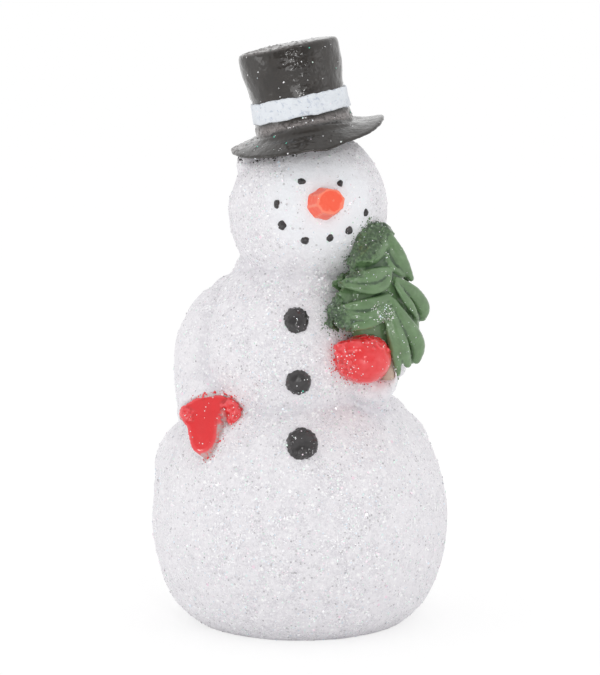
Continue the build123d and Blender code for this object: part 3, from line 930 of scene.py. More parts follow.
class SNOWMAN_OT_glitter(bpy.types.Operator):
    """Loose glitter flakes strewn over the snow coat"""

    bl_idname = "snowman.glitter"
    bl_label = "Loose glitter"

    def execute(self, context):
        coat = settings().coat
        flake = glitter_flake(coat.flake_radius)
        ground = bpy.data.objects["snow_coat"]
        silver, mixed = flake_finish("silver_flakes", 0.0), flake_finish("mixed_flakes", 0.15)
        for name, per_mm2, seed, sizes in (
            ("coat_glitter", coat.flakes_per_mm2, 7, (0.6, 1.5)),
            ("coat_sparkles", coat.sparkles_per_mm2, 8, (1.5, 2.3)),
        ):
            piece = strewn(name, ground, flake, per_mm2, seed, None, 0.04 * MM, sizes)
            hand_over(piece, "glitter_white", silver)
            bpy.ops.object.shade_flat()
        grit = bead((0, 0, 0), (0.20 * MM, 0.20 * MM, 0.16 * MM), segments=8)
        for attribute, slot, source, per_mm2, reach in SPATTER:
            near = np.empty(len(ground.data.vertices), np.float32)
            ground.data.attributes[attribute].data.foreach_get("value", near)
            share = np.maximum(1 - (1 - near) * (coat.overspray / MM) / reach, 0)
            write_attribute(ground, "spattered", share**2)
            piece = strewn(f"{source}_spatter", ground, grit, per_mm2, 19, "spattered", 0.0, (0.5, 1.6))
            hand_over(piece, slot, bpy.data.objects[source].data.materials[0])
        bpy.data.objects.remove(grit)
        from_world = tree_frame().inverted()
        strays = {
            "tree_boughs": ("fir_green", 7.0, lambda point: glitter_on_tree(from_world @ point)),
            "left_mitten_skin": ("mitten_red", 1.6, None),
            "right_mitten_skin": ("mitten_red", 1.6, None),
            "crown": ("hat_black", 0.02, everywhere),
            "brim": ("hat_black", 0.9, glitter_on_roll(crown_frame())),
            "top_button_dome": ("coal_black", 0.08, everywhere),
            "middle_button_dome": ("coal_black", 0.16, everywhere),
            "bottom_button_dome": ("coal_black", 0.12, everywhere),
        }
        for name, (slot, per_mm2, share) in strays.items():
            ground = bpy.data.objects[name]
            group = group_by(ground, "strays", share) if share else "grit"
            dark = slot in ("hat_black", "coal_black")
            sizes = (0.5, 1.5) if dark else (0.25, 0.95)
            piece = strewn(f"{name}_glitter", ground, flake, per_mm2, 9, group, 0.03 * MM, sizes)
            ground.vertex_groups.clear()
            hand_over(piece, slot, mixed if dark else silver)
            bpy.ops.object.shade_flat()
        bpy.data.objects.remove(flake)
        return {"FINISHED"}


def glitter_on_roll(crown):
    """Stray flakes gather on the roll round the crown's foot."""
    foot, up = crown.translation, crown.col[2].to_3d()
    return lambda point: max(0.8 - abs((point - foot).dot(up) - 0.7 * MM) / (1.1 * MM), 0.03)


def glitter_on_tree(point):
    """Stray flakes gather along the tree's spine, on one bough and at its rough edge."""
    across, height = point.x / MM, point.z / MM
    spine = 1 - abs(across - (15 - height) * 0.05) / 1.6
    patch = 1.5 - sqrt(((across + 3.2) / 2.4) ** 2 + ((height - 13.6) / 1.7) ** 2)
    return max(spine * 0.12, patch, rough_tree(point) * 0.02, 0.01)


def glitter_flake(radius):
    """One six-sided flake of glitter film."""
    return settle(fresh(bpy.ops.mesh.primitive_cylinder_add, vertices=6, radius=radius, depth=0.04 * MM))


def strewing(shape, density, seed, group, lift, sizes):
    """A node group that strews copies of a shape over a surface, where a group of points allows."""
    nodes = Wiring(bpy.data.node_groups.new("Strewing", "GeometryNodeTree"))
    for way in ("INPUT", "OUTPUT"):
        nodes.tree.interface.new_socket("Geometry", in_out=way, socket_type="NodeSocketGeometry")
    start = nodes.add("NodeGroupInput")
    amount = nodes.add("Math", {0: density, 1: 1.0}, operation="MULTIPLY")
    if group:
        chosen = nodes.add("GeometryNodeInputNamedAttribute", dict(Name=group), data_type="FLOAT")
        nodes.feed(amount.inputs[1], chosen.outputs["Attribute"])
    over = dict(Mesh=start.outputs[0], Density=amount.outputs[0], Seed=seed)
    points = nodes.add("GeometryNodeDistributePointsOnFaces", over)
    limits = dict(Min=(-MOST_LEAN, -MOST_LEAN, -pi), Max=(MOST_LEAN, MOST_LEAN, pi), Seed=seed + 1)
    askew = nodes.add("FunctionNodeRandomValue", limits, data_type="FLOAT_VECTOR")
    turning = {"Rotation": points.outputs["Rotation"], "Rotate By": askew.outputs[0]}
    turn = nodes.add("FunctionNodeRotateRotation", turning, rotation_space="LOCAL")
    form = nodes.add("GeometryNodeObjectInfo", dict(Object=shape))
    size = nodes.add("FunctionNodeRandomValue", dict(Min=sizes[0], Max=sizes[1], Seed=seed + 2))
    outward = nodes.add("VectorMath", {0: points.outputs["Normal"], "Scale": lift}, operation="SCALE")
    moved = dict(Geometry=points.outputs["Points"], Offset=outward.outputs[0])
    raised = nodes.add("GeometryNodeSetPosition", moved).outputs[0]
    placing = dict(Instance=form.outputs["Geometry"], Rotation=turn.outputs[0], Scale=size.outputs[1])
    copies = nodes.add("GeometryNodeInstanceOnPoints", dict(Points=raised, **placing))
    real = nodes.add("GeometryNodeRealizeInstances", {0: copies.outputs[0]})
    nodes.add("NodeGroupOutput", {0: real.outputs[0]})
    return nodes.tree


class SNOWMAN_OT_hat(bpy.types.Operator):
    """Top hat: drooping brim, crown with a waist and a low dome, and the painted band"""

    bl_idname = "snowman.hat"
    bl_label = "Top hat"

    def execute(self, context):
        hat = settings().hat
        # The hat's gritty edges get the painted sheen
        looks = dict(grain=0.5, depth=0.10, stain=hat.edge_sheen, gloss=1.0)
        black = speckled_paint("hat_black_paint", hat.paint, shaded(hat.paint, 1.5), 0.32, 0.006, **looks)
        # The band gets grey-blue smudges and painted shade in its hollows
        looks = dict(grain=0.8, shade_in_hollows=hat.band_smudge_and_shade, smudge=hat.band_smudge_and_shade)
        white = speckled_paint("band_blue_white_paint", hat.band, shaded(hat.band, 0.94), 0.5, 0.02, **looks)
        for piece, slot, material, node in (
            (hat_brim(), "hat_black", black, "hat_brim"),
            (hat_crown(), "hat_black", black, "hat_crown"),
            (hat_band(), "band_white", white, "hat_band"),
        ):
            write_relief(piece, 0.14 * MM)
            hand_over(piece, slot, material, node)
        return {"FINISHED"}


def turned(name, profile, steps=128):
    """A solid of revolution about Z: a profile of (radius, height) points from axis to axis, spun."""
    piece = fresh(bpy.ops.mesh.primitive_plane_add, size=1 * MM)
    piece.name = name
    with editing(piece):
        bpy.ops.mesh.merge(type="CENTER")
        bpy.ops.transform.translate(value=(profile[0][0], 0, profile[0][1]))
        for (radius, height), (next_radius, next_height) in zip(profile, profile[1:]):
            step = (next_radius - radius, 0, next_height - height)
            bpy.ops.mesh.extrude_region_move(TRANSFORM_OT_translate={"value": step})
        bpy.ops.mesh.select_all(action="SELECT")
        bpy.ops.mesh.spin(steps=steps, angle=2 * pi, center=(0, 0, 0), axis=(0, 0, 1))
        bpy.ops.mesh.select_all(action="SELECT")
        bpy.ops.mesh.remove_doubles(threshold=0.01 * MM)
        bpy.ops.mesh.normals_make_consistent(inside=False)
    return piece


def hat_brim():
    """The brim: a thin edge that droops and curls, a slope, and a roll round the crown's foot."""
    hat = settings().hat
    place, crown = hat_frame(), crown_frame()
    edge = reach_along("hat_brim", place.translation, place.col[0].to_3d())[1]
    rim, flare, high = hat.rim_thickness, hat.flare_radius, hat.roll_height
    dish = (
        *((0, 0), (edge - 0.6 * MM, 0.1 * MM), (edge, rim * 0.45), (edge - 0.2 * MM, rim * 0.9)),
        *((13.2 * MM, 1.75 * MM), (flare, 2.7 * MM), (0, 2.7 * MM)),
    )
    roll = (
        *((0, -2.2 * MM), (flare + 0.4 * MM, -0.8 * MM), (flare, 0)),
        *((flare - 0.9 * MM, high * 0.3), (flare - 1.6 * MM, high), (0, high)),
    )
    dish, roll = turned("brim", dish), turned("roll", roll)
    settle(roll, place.inverted() @ crown)
    piece = fuse("brim", [dish, roll], 0.26 * MM, 1)
    dent = Vector((0.24, -0.97, 0)) * edge
    for vertex in piece.data.vertices:
        away = Vector((vertex.co.x, vertex.co.y, 0))
        out = min(max((away.length - 9 * MM) / (edge - 9 * MM), 0), 1) ** 1.5
        side = abs(away.x) / max(away.length, 1 * MM)
        low = hat.left_low if away.x > 0 else hat.right_low
        if vertex.co.z > rim:
            vertex.co.z = rim + (vertex.co.z - rim) * (1 - low * side**2)
        curl = hat.left_curl if away.x > 0 else hat.right_curl
        sag = 0.6 * MM * max(1 - (away - dent).length / (4 * MM), 0)
        vertex.co.z += out * (curl * side**7 - hat.droop) - sag
    settle(piece, place)
    roughen(piece, 0.25 * MM, 2.5 * MM)
    roll_middle, roll_up = crown.translation, crown.col[2].to_3d()
    tip = place @ Vector((-edge, 0, 0))

    def gritty(point):
        """Grit lies on the roll's side and at the tip on the figure's right."""
        height = (point - roll_middle).dot(roll_up)
        on_roll = 1 - abs(height - 0.7 * MM) / (0.9 * MM)
        return max(on_roll, 1.2 - (point - tip).length / (5 * MM))

    group = group_by(piece, "gritty", gritty)
    piece = knobbly(piece, group, 2.5, 0.22 * MM, 0.24 * MM, 3)
    roughen(piece, 0.14 * MM, 0.5 * MM)
    # The roll and the tip get the painted sheen where grit lies
    write_share(piece, "stain", gritty)
    return piece


def hat_crown():
    """The crown: a waist inside the band, wider above, with a soft edge and a low dome."""
    hat = settings().hat
    place = crown_frame()
    origin, up = place.translation, place.col[2].to_3d()
    top = reach_along("hat_crown", origin, up)[1]
    wide = reach_along("hat_crown", origin, place.col[0].to_3d())[1]
    waist = hat.waist_radius
    profile = (
        # the foot and the waist, out of sight in the brim and the band
        *((0, -2.0 * MM), (waist + 0.7 * MM, -2.0 * MM), (waist + 0.4 * MM, top * 0.05)),
        *((waist, top * 0.30), (waist + 0.15 * MM, top * 0.40)),
        # the wall, the soft edge and the dome
        *((wide - 0.70 * MM, top * 0.50), (wide - 0.1 * MM, top * 0.68), (wide, top * 0.89)),
        *((wide - 0.15 * MM, top * 0.945), (wide - 0.6 * MM, top * 0.965)),
        *((wide * 0.6, top * 0.99), (0, top)),
    )
    piece = turned("crown", profile)
    remeshed(piece, 0.3 * MM, 2)
    for vertex in piece.data.vertices:
        vertex.co.x -= (0.5 if vertex.co.z > top * 0.42 else hat.askew / MM) * MM
    settle(piece, place)
    roughen(piece, 0.4 * MM, 5 * MM)
    corner = place @ Vector((-wide * 0.55, -wide * 0.6, top * 0.97))
    patch = place @ Vector((0, -wide, top * 0.93))
    trail = place @ Vector((2 * MM, -wide, top * 0.62))

    def gritty(point):
        """Grit lies along the top's edge towards the figure's right, and round the foot."""
        height = (point - origin).dot(up)
        on_edge = max(1 - abs(height - top * 0.97) / (0.7 * MM), 0)
        on_foot = 1.2 - abs(height - 0.4 * MM) / (1.1 * MM)
        return max(on_edge * max(1 - (point - corner).length / (13 * MM), 0), on_foot)

    def rippled(point):
        """The brush left ripples down the front."""
        return max(1.2 - (point - patch).length / (3.5 * MM), 1.1 - (point - trail).length / (5 * MM))

    group = group_by(piece, "gritty", gritty)
    piece = knobbly(piece, group, 3.0, 0.22 * MM, 0.20 * MM, 5)
    roughen(piece, 0.08 * MM, 0.7 * MM)
    ripples = group_by(piece, "ripples", rippled)
    roughen(piece, 0.30 * MM, 0.7 * MM, only=ripples)
    write_share(piece, "rippled", rippled)
    # The top's edge and the foot get the painted sheen where grit lies
    write_share(piece, "stain", gritty)
    return piece


def hat_band():
    """The band: a thin painted ring with wavering edges that follows the crown's waist."""
    place = crown_frame()
    origin, up = place.translation, place.col[2].to_3d()
    low, high = reach_along("hat_band", origin, up)
    waist = settings().hat.waist_radius
    inside = waist - 0.5 * MM
    outside = ((waist + 0.7 * MM, low), (waist + 0.55 * MM, (low + high) / 2), (waist + 0.5 * MM, high))
    piece = turned("band", ((inside, low), *outside, (inside, high), (inside, low)))
    for vertex in piece.data.vertices:
        vertex.co.x -= settings().hat.askew
    remeshed(piece, 0.22 * MM, 3)
    settle(piece, place)
    waver = bpy.data.textures.new("band waver", "CLOUDS")
    waver.noise_scale = 4 * MM
    values = dict(texture=waver, texture_coords="GLOBAL", direction="Z", strength=1.0 * MM)
    apply_modifier(piece, "DISPLACE", **values)
    roughen(piece, 0.2 * MM, 1.0 * MM)
    return piece


class SNOWMAN_OT_nose(bpy.types.Operator):
    """Whittled carrot nose, eight-sided and blunt"""

    bl_idname = "snowman.nose"
    bl_label = "Carrot nose"

    def execute(self, context):
        face = settings().face
        head = balls()[2]
        seat = head.above(middle("carrot_nose"))
        out = head.normal(seat)
        tip = reach_along("carrot_nose", seat, out)[1]
        place = frame_of(seat, out, ACROSS)
        cone = dict(radius1=3.35 * MM, radius2=2.6 * MM, depth=tip + 1 * MM)
        halfway = (0, 0, tip / 2 - 0.5 * MM)
        piece = fresh(bpy.ops.mesh.primitive_cone_add, vertices=8, location=halfway, **cone)
        piece.name = "nose"
        piece.scale.x = 1.09
        piece.rotation_euler.z = radians(14)
        settle(piece)
        for vertex in piece.data.vertices:
            vertex.co.y -= face.drop
            if vertex.co.z > 0:
                vertex.co.x += 0.40 * MM
        with editing(piece):
            bpy.ops.mesh.bevel(offset=0.22 * MM, segments=2, profile=0.6)
            bpy.ops.mesh.select_all(action="SELECT")
            bpy.ops.mesh.subdivide(number_cuts=3)
        remeshed(piece, 0.14 * MM, 1)
        settle(piece, place)
        roughen(piece, 0.35 * MM, 2 * MM)
        write_relief(piece, 0.06 * MM)
        # The nose's ridges get a painted highlight
        looks = dict(edge_sheen=face.carrot_sheen)
        orange = speckled_paint("carrot_orange_paint", face.carrot, face.carrot, 0.42, 0.004, **looks)
        hand_over(piece, "carrot_orange", orange, "carrot_nose")
        return {"FINISHED"}


class SNOWMAN_OT_coals(bpy.types.Operator):
    """Eyes and mouth: small uneven coals pressed into the snow"""

    bl_idname = "snowman.coals"
    bl_label = "Eyes and mouth"

    def execute(self, context):
        head = balls()[2]
        face = settings().face
        black = speckled_paint("coal_black_paint", face.coal, shaded(face.coal, 1.7), 0.30, 0.03, gloss=0.5)
        # Half width and half height in millimetres, and how much of the drop each takes
        sizes = {
            "right_eye": (0.84, 0.70, 1.0),
            "left_eye": (0.62, 0.76, 0.8),
            "mouth_coal_1": (0.62, 0.98, 0.8),
            "mouth_coal_2": (0.98, 0.98, 0.3),
            "mouth_coal_3": (0.90, 0.90, 0.0),
            "mouth_coal_4": (0.72, 0.90, 0.1),
            "mouth_coal_5": (0.84, 0.86, 0.2),
            "mouth_coal_6": (0.68, 0.80, 0.7),
        }
        for node, (wide, tall, drop) in sizes.items():
            seat = head.above(middle(node) - Vector((0, 0, drop * face.drop)))
            place = frame_of(seat, head.normal(seat), ACROSS)
            piece = bead(seat, (wide * MM, tall * MM, 0.75 * MM), place)
            piece.name = f"{node}_coal"
            roughen(piece, 0.45 * MM, 0.7 * MM)
            hand_over(piece, "coal_black", black, node)
        return {"FINISHED"}


class SNOWMAN_OT_buttons(bpy.types.Operator):
    """Three round black buttons down the front, with ragged rims"""

    bl_idname = "snowman.buttons"
    bl_label = "Buttons"

    def execute(self, context):
        lower, torso = balls()[:2]
        coal = settings().face.coal
        black = speckled_paint("button_black_paint", coal, shaded(coal, 1.8), 0.32, 0.02, gloss=0.9)
        # Ball, radius, how tall it is for its width, rise, size and number of the rim's grit
        buttons = {
            "top_button": (torso, 2.45, 1.06, -0.42, 0.26, 2.0),
            "middle_button": (torso, 2.50, 1.0, 0.08, 0.24, 2.0),
            "bottom_button": (lower, 2.9, 1.12, -0.55, 0.38, 7.0),
        }
        for node, (ball, radius, tall, rise, grit, per_mm2) in buttons.items():
            seat = ball.above(middle(node) + Vector((0, 0, rise * MM)))
            place = frame_of(seat, ball.normal(seat), ACROSS)
            dome = bead(seat, (radius * MM, radius * tall * MM, 1.5 * MM), place, 64)
            piece = fuse(f"{node}_dome", [dome], 0.14 * MM, 3)
            roughen(piece, 0.18 * MM, 1.4 * MM)
            rim = group_by(piece, "rim", lambda point: (point - seat).length / (radius * MM) * 4 - 3)
            piece = knobbly(piece, rim, per_mm2, grit * MM, 0.15 * MM, 11)
            roughen(piece, 0.06 * MM, 0.4 * MM)
            write_relief(piece, 0.08 * MM)
            hand_over(piece, "coal_black", black, node)
        return {"FINISHED"}


class SNOWMAN_OT_mittens(bpy.types.Operator):
    """Red mittens: one hangs on the lower ball, one holds the tree"""

    bl_idname = "snowman.mittens"
    bl_label = "Mittens"

    def execute(self, context):
        mittens = settings().mittens
        # Painted shade in the mittens' hollows and on the wall under the hanging mitten, painted highlight
        # on their ridges
        looks = dict(shade_in_hollows=shaded(mittens.red, 0.78), edge_sheen=mittens.sheen_red, stain=mittens.mitten_wall_shade, gloss=0.85)
        red = speckled_paint("mitten_red_paint", mittens.red, shaded(mittens.red, 1.06), 0.30, 0.02, **looks)
        for name, pieces, node, gritty, mitten_wall_shade, waver in (hanging_mitten(), holding_mitten()):
            piece = fuse(name, pieces, mittens.grain, 8)
            roughen(piece, waver, 2.2 * MM)
            group = group_by(piece, "gritty", gritty)
            piece = knobbly(piece, group, 6.0, 0.32 * MM, mittens.grain, 13, 0.10 * MM)
            group = group_by(piece, "gritty", gritty)
            roughen(piece, 0.14 * MM, 0.5 * MM, only=group)
            write_relief(piece, 0.10 * MM)
            grit = [min(max(gritty(vertex.co), 0), 1) for vertex in piece.data.vertices]
            write_attribute(piece, "grit", [max(share, 0.01) for share in grit])
            # Painted shade on the wall behind the shield's face, where no grit lies
            stain = [mitten_wall_shade(vertex.co) * (1 - share) for vertex, share in zip(piece.data.vertices, grit)]
            write_attribute(piece, "stain", stain)
            hand_over(piece, "mitten_red", red, node)
        return {"FINISHED"}


# Outline of the hanging mitten's face (across, height) from its tip, in millimetres
SHIELD = (
    *((-4.9, 7.4), (-4.6, 8.9), (-3.6, 10.2), (-2.1, 11.3), (-0.3, 12.0), (1.6, 12.2), (3.4, 12.1)),
    *((4.6, 11.6), (3.5, 9.6), (2.5, 8.0), (2.3, 5.6), (2.2, 3.2), (1.5, 1.6), (0.4, 0.5), (-0.6, 0.1)),
    *((-1.8, 0.2), (-2.7, 1.2), (-3.3, 3.7), (-3.8, 6.3)),
)


def hanging_mitten():
    """The mitten on the lower ball: a flat shield over the arm's end, with a thumb beside it."""
    mittens = settings().mittens
    lower = balls()[0]
    arm = copy_of("right_arm")
    skin = BVHTree.FromPolygons([v.co for v in arm.data.vertices], [p.vertices for p in arm.data.polygons])
    bpy.data.objects.remove(arm)
    front = Vector((0, -1, 0.12)).normalized()

    def clear_of_arm(point, clearance):
        """A point brought to the front until it clears the arm."""
        hit = skin.ray_cast(point + front * 40 * MM, -front)[0]
        short = (hit + front * clearance - point).dot(front) if hit else 0
        return point + front * max(short, 0)

    high = mittens.plate_height
    tip = lower.place(-45, 31.5, 1.9 * MM)
    left_top = clear_of_arm(lower.place(-85, 48.5, high), 1.2 * MM)
    facing = (lower.place(-45, 53, high) - left_top).cross(left_top - tip)
    face = frame_of(tip, facing.normalized(), ACROSS)

    def on_face(across, height, lift=0.0):
        """A place on the shield's face, in millimetres from its tip."""
        return face @ (Vector((across, height, lift)) * MM)

    deep = lower.normal(lower.place(-66, 40)) * 7 * MM
    shield = plate([on_face(*corner) - deep for corner in SHIELD], deep, 0.5 * MM)
    knots = ((4.4, 10.6, -0.2), (6.1, 9.5, -0.2), (6.3, 7.8, -0.4), (5.6, 6.0, -0.7))
    thumb = strand([on_face(*knot) for knot in knots], [1.35 * MM, 1.3 * MM, 1.2 * MM, 0.85 * MM])
    lump_middle = on_face(-3.7, 8.1, -0.7)
    lump = bead(lump_middle, (0.95 * MM, 1.0 * MM, 1.5 * MM))
    thumb_end = on_face(6.2, 7.5)
    to_face = face.inverted()

    def gritty(point):
        """Grit lies on the thumb and on the lump at the cuff."""
        on_thumb = 1 - (point - thumb_end).length / (4.0 * MM)
        return max(on_thumb, 1 - (point - lump_middle).length / (2.2 * MM)) * 1.6

    def mitten_wall_shade(point):
        """The wall behind the shield's face gets grey-pink painted shade."""
        return (-(to_face @ point).z / MM - 0.12) * 4

    return "right_mitten_skin", (shield, thumb, lump), "right_mitten", gritty, mitten_wall_shade, 0.05 * MM


def holding_mitten():
    """The mitten on the torso: a round fist with the thumb laid over it."""
    torso = balls()[1]
    fist = bead(torso.place(40, 3.0, 2.4 * MM), (5.5 * MM, 5.3 * MM, 4.9 * MM))
    knots = ((25, 8.0, 1.8 * MM), (30, 9.6, 3.2 * MM), (36, 8.8, 4.4 * MM), (42, 6.0, 4.9 * MM))
    thumb = strand([torso.place(*knot) for knot in knots], [1.5 * MM, 2.0 * MM, 2.1 * MM, 1.4 * MM])
    edge = torso.place(22, 4, 2.0 * MM)
    top = torso.place(44, 15, 5.5 * MM)

    def gritty(point):
        """Grit lies along the side towards the buttons and on top beside the tree."""
        return max(1 - (point - edge).length / (5.5 * MM), 1 - (point - top).length / (4.5 * MM)) * 1.5

    return "left_mitten_skin", (fist, thumb), "left_mitten", gritty, lambda point: 0.0, 0.20 * MM


# The tree in its own frame, in millimetres: points (across, height, lift out of the flat, half width)
BOUGHS = (
    # left side, from the top down: each has an upper and a lower lip
    ((-0.2, 27.6, 1.6, 0.9), (-2.2, 26.0, 2.6, 1.7), (-4.6, 24.6, 2.2, 1.7), (-6.8, 23.6, 1.0, 0.7)),
    ((-0.6, 21.9, 2.4, 0.8), (-3.2, 21.2, 3.4, 1.6), (-6.6, 20.5, 3.0, 1.5), (-10.6, 19.7, 1.0, 0.4)),
    (
        *((-0.3, 21.8, 2.6, 0.7), (-0.9, 19.4, 3.6, 0.9), (-4.2, 18.1, 4.0, 1.0)),
        *((-7.6, 18.4, 3.4, 0.8), (-10.8, 19.4, 1.4, 0.4)),
    ),
    ((-0.5, 16.8, 3.2, 0.8), (-4.0, 15.6, 3.8, 1.3), (-8.0, 15.2, 3.0, 1.2), (-12.2, 14.6, 1.0, 0.5)),
    ((-0.6, 15.6, 3.6, 0.6), (-4.0, 13.6, 4.3, 0.7), (-8.0, 12.9, 4.0, 0.7), (-11.6, 13.6, 1.6, 0.4)),
    (
        *((-1.0, 14.4, 3.4, 0.7), (-3.6, 12.2, 4.2, 0.9), (-7.2, 11.2, 3.8, 1.0)),
        *((-10.4, 11.2, 2.2, 0.8), (-12.0, 12.4, 1.0, 0.5)),
    ),
    # right side, from the top down
    ((-0.6, 30.0, 0.8, 1.2), (1.0, 27.0, 1.9, 1.6), (3.4, 23.2, 1.7, 1.7), (6.3, 19.8, 0.4, 0.6)),
    ((-0.4, 25.0, 2.2, 0.3), (-0.2, 23.2, 2.8, 0.6), (1.4, 21.9, 2.4, 0.6), (4.4, 20.6, 1.0, 0.3)),
    (
        *((0.9, 20.2, 2.6, 0.7), (3.8, 18.4, 2.8, 1.4), (6.9, 16.0, 2.0, 1.6)),
        *((8.9, 13.6, 0.8, 1.4), (8.4, 11.8, 0.0, 0.6)),
    ),
    ((0.6, 19.4, 3.2, 0.5), (2.2, 16.6, 3.8, 0.9), (4.4, 14.4, 3.2, 1.0), (6.9, 12.0, 1.2, 0.4)),
    (
        *((-0.6, 16.2, 3.6, 0.8), (1.6, 12.4, 4.0, 1.5), (4.6, 9.0, 3.2, 1.8)),
        *((6.6, 6.2, 1.8, 1.7), (6.2, 3.6, 0.6, 0.9)),
    ),
    ((-1.4, 14.2, 4.2, 0.7), (-0.2, 10.0, 4.5, 1.4), (1.8, 6.4, 3.7, 1.7), (4.0, 3.0, 1.6, 0.8)),
    ((-2.0, 12.6, 3.8, 0.6), (-1.3, 9.4, 4.2, 0.9), (0.0, 6.4, 3.8, 0.9), (1.1, 4.4, 2.8, 0.4)),
    ((-1.4, 10.6, 3.6, 0.8), (-0.4, 7.2, 3.4, 1.2), (1.0, 4.2, 2.6, 1.1), (1.8, 1.0, 1.4, 0.5)),
)
CORE = (
    *((-1.2, 31.2, 0.0, 1.0), (-1.1, 30.2, 0.0, 3.0), (-1.4, 27.5, 0.0, 4.6), (-1.8, 24.5, 0.0, 5.4)),
    *((-1.6, 21.0, 0.0, 5.6), (-2.3, 15.0, 0.0, 7.4), (-0.6, 8.0, 0.0, 5.6), (1.4, 1.4, 0.0, 1.2)),
)
LEFT_FILL = ((-7.5, 17.5, 0.0, 2.4), (-9.5, 15.5, 0.0, 2.9), (-9.5, 13.0, 0.0, 2.4))
MIDDLE_FILL = ((-1.0, 14.9, 2.9, 1.3), (-5.0, 13.6, 3.1, 1.5), (-10.0, 13.2, 2.2, 1.4))
RIGHT_FILL = ((4.0, 17.0, 0.0, 2.4), (5.6, 13.0, 0.0, 3.0), (4.6, 6.0, 0.0, 2.6))

# The trunk in the tree's frame, from its foot up, in millimetres: points (across, height, radius)
TRUNK = ((0.3, 0.3, 1.6), (0.2, 2.0, 1.7), (0.0, 6.0, 1.6), (0.0, 12.0, 1.3))


class SNOWMAN_OT_tree(bpy.types.Operator):
    """Fir tree: smooth leaf-like boughs on both sides of a spine, rough at the top and one edge"""

    bl_idname = "snowman.tree"
    bl_label = "Fir tree"

    def execute(self, context):
        tree = settings().tree
        place = tree_frame()
        pieces = [bough(points, side) for points in BOUGHS for side in (1, -1)]
        pieces += [bough(CORE, 1, 0.42), bough(LEFT_FILL, 1, 0.5)]
        pieces += [bough(MIDDLE_FILL, side) for side in (1, -1)] + [bough(RIGHT_FILL, 1, 0.5)]
        piece = fuse("tree_boughs", pieces, tree.grain, 2)
        rough = group_by(piece, "rough", rough_tree)
        piece = knobbly(piece, rough, 6.0, 0.36 * MM, 0.22 * MM, 17, 0.22 * MM)
        write_attribute(piece, "stain", [0.8 * rough_tree(vertex.co) for vertex in piece.data.vertices])
        settle(piece, place)
        roughen(piece, 0.12 * MM, 0.6 * MM)
        write_relief(piece, 0.14 * MM)
        # Painted shade in the folds of the boughs
        looks = dict(shade_in_hollows=tree.fold_shade_and_rough_green, stain=shaded(tree.fold_shade_and_rough_green, 0.6), gloss=0.8)
        green = speckled_paint("fir_green_paint", tree.green, shaded(tree.green, 1.3), 0.34, 0.012, **looks)
        hand_over(piece, "fir_green", green, "tree")
        # Painted shade in the trunk's hollows
        looks = dict(shade_in_hollows=shaded(tree.trunk, 0.6))
        tan = speckled_paint("trunk_tan_paint", tree.trunk, shaded(tree.trunk, 0.8), 0.55, 0.01, **looks)
        knots = [place @ Vector((across * MM, 0, height * MM)) for across, height, radius in TRUNK]
        stem = fuse("trunk", [strand(knots, [knot[2] * MM for knot in TRUNK])], 0.18 * MM, 2)
        roughen(stem, 0.35 * MM, 1.2 * MM)
        write_relief(stem, 0.10 * MM)
        hand_over(stem, "trunk_tan", tan, "tree_trunk")
        return {"FINISHED"}


def bough(points, side, flatness=0.62):
    """One bough: a strand through points of the tree's frame, flattened, on its front or back."""
    knots = [(across, -side * lift / flatness, height) for across, height, lift, width in points]
    piece = strand([Vector(knot) * MM for knot in knots], [point[3] * MM for point in points])
    piece.scale.y = flatness
    return settle(piece)


def rough_tree(point):
    """The tree is rough at its top and along the edge towards the figure's middle."""
    across, height = point.x / MM, point.z / MM
    edge = -7.6 if height > 20.6 else -11.2 + max(0, 12.5 - height) * 0.8
    by_edge = (edge + 1.2 - across) / 1.2
    top_left = (height - 24.5 + (across + 3.5) * -1.1) / 2.0
    return max(by_edge, min(top_left, 1.0) if height > 24 else 0.0, (height - 28.5) / 1.5)


class SNOWMAN_OT_woodwork(bpy.types.Operator):
    """Finish of the CAD pieces that stay: the dowels and the pegs"""

    bl_idname = "snowman.woodwork"
    bl_label = "Dowels and pegs"

    def execute(self, context):
        beech = wood_finish()
        for node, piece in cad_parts.items():
            if node.endswith(("dowel", "peg")):
                piece.data.materials.clear()
                piece.data.materials.append(beech)
        return {"FINISHED"}


# Area lamps: place and size in metres, power in watts
LAMPS = {
    "key_lamp": ((0.08, -0.61, 0.36), 0.06, 0.36),
    "near_lamp": ((0.04, -0.63, 0.105), 0.035, 0.14),
    "low_lamp": ((0.0, -0.50, 0.02), 0.25, 0.40),
    "left_lamp": ((-0.55, -0.15, 0.08), 0.25, 0.34),
    "right_lamp": ((0.55, -0.20, 0.08), 0.25, 0.12),
}


LAMPS_AIM_AT = Vector((0, 0, 0.06))
# Direction from which a viewer's own dark shape dims the surroundings, and how: cosines and strengths
FRONT = (0, -0.985, 0.17)
FRONT_CONE = {"From Min": 0.55, "From Max": 0.95, "To Min": 1.0, "To Max": 0.35}
# Strength of the floor's own light, and its share of what a camera sees there
FLOOR_GLOW, FLOOR_GLOW_SHARE = 1.09, 0.62


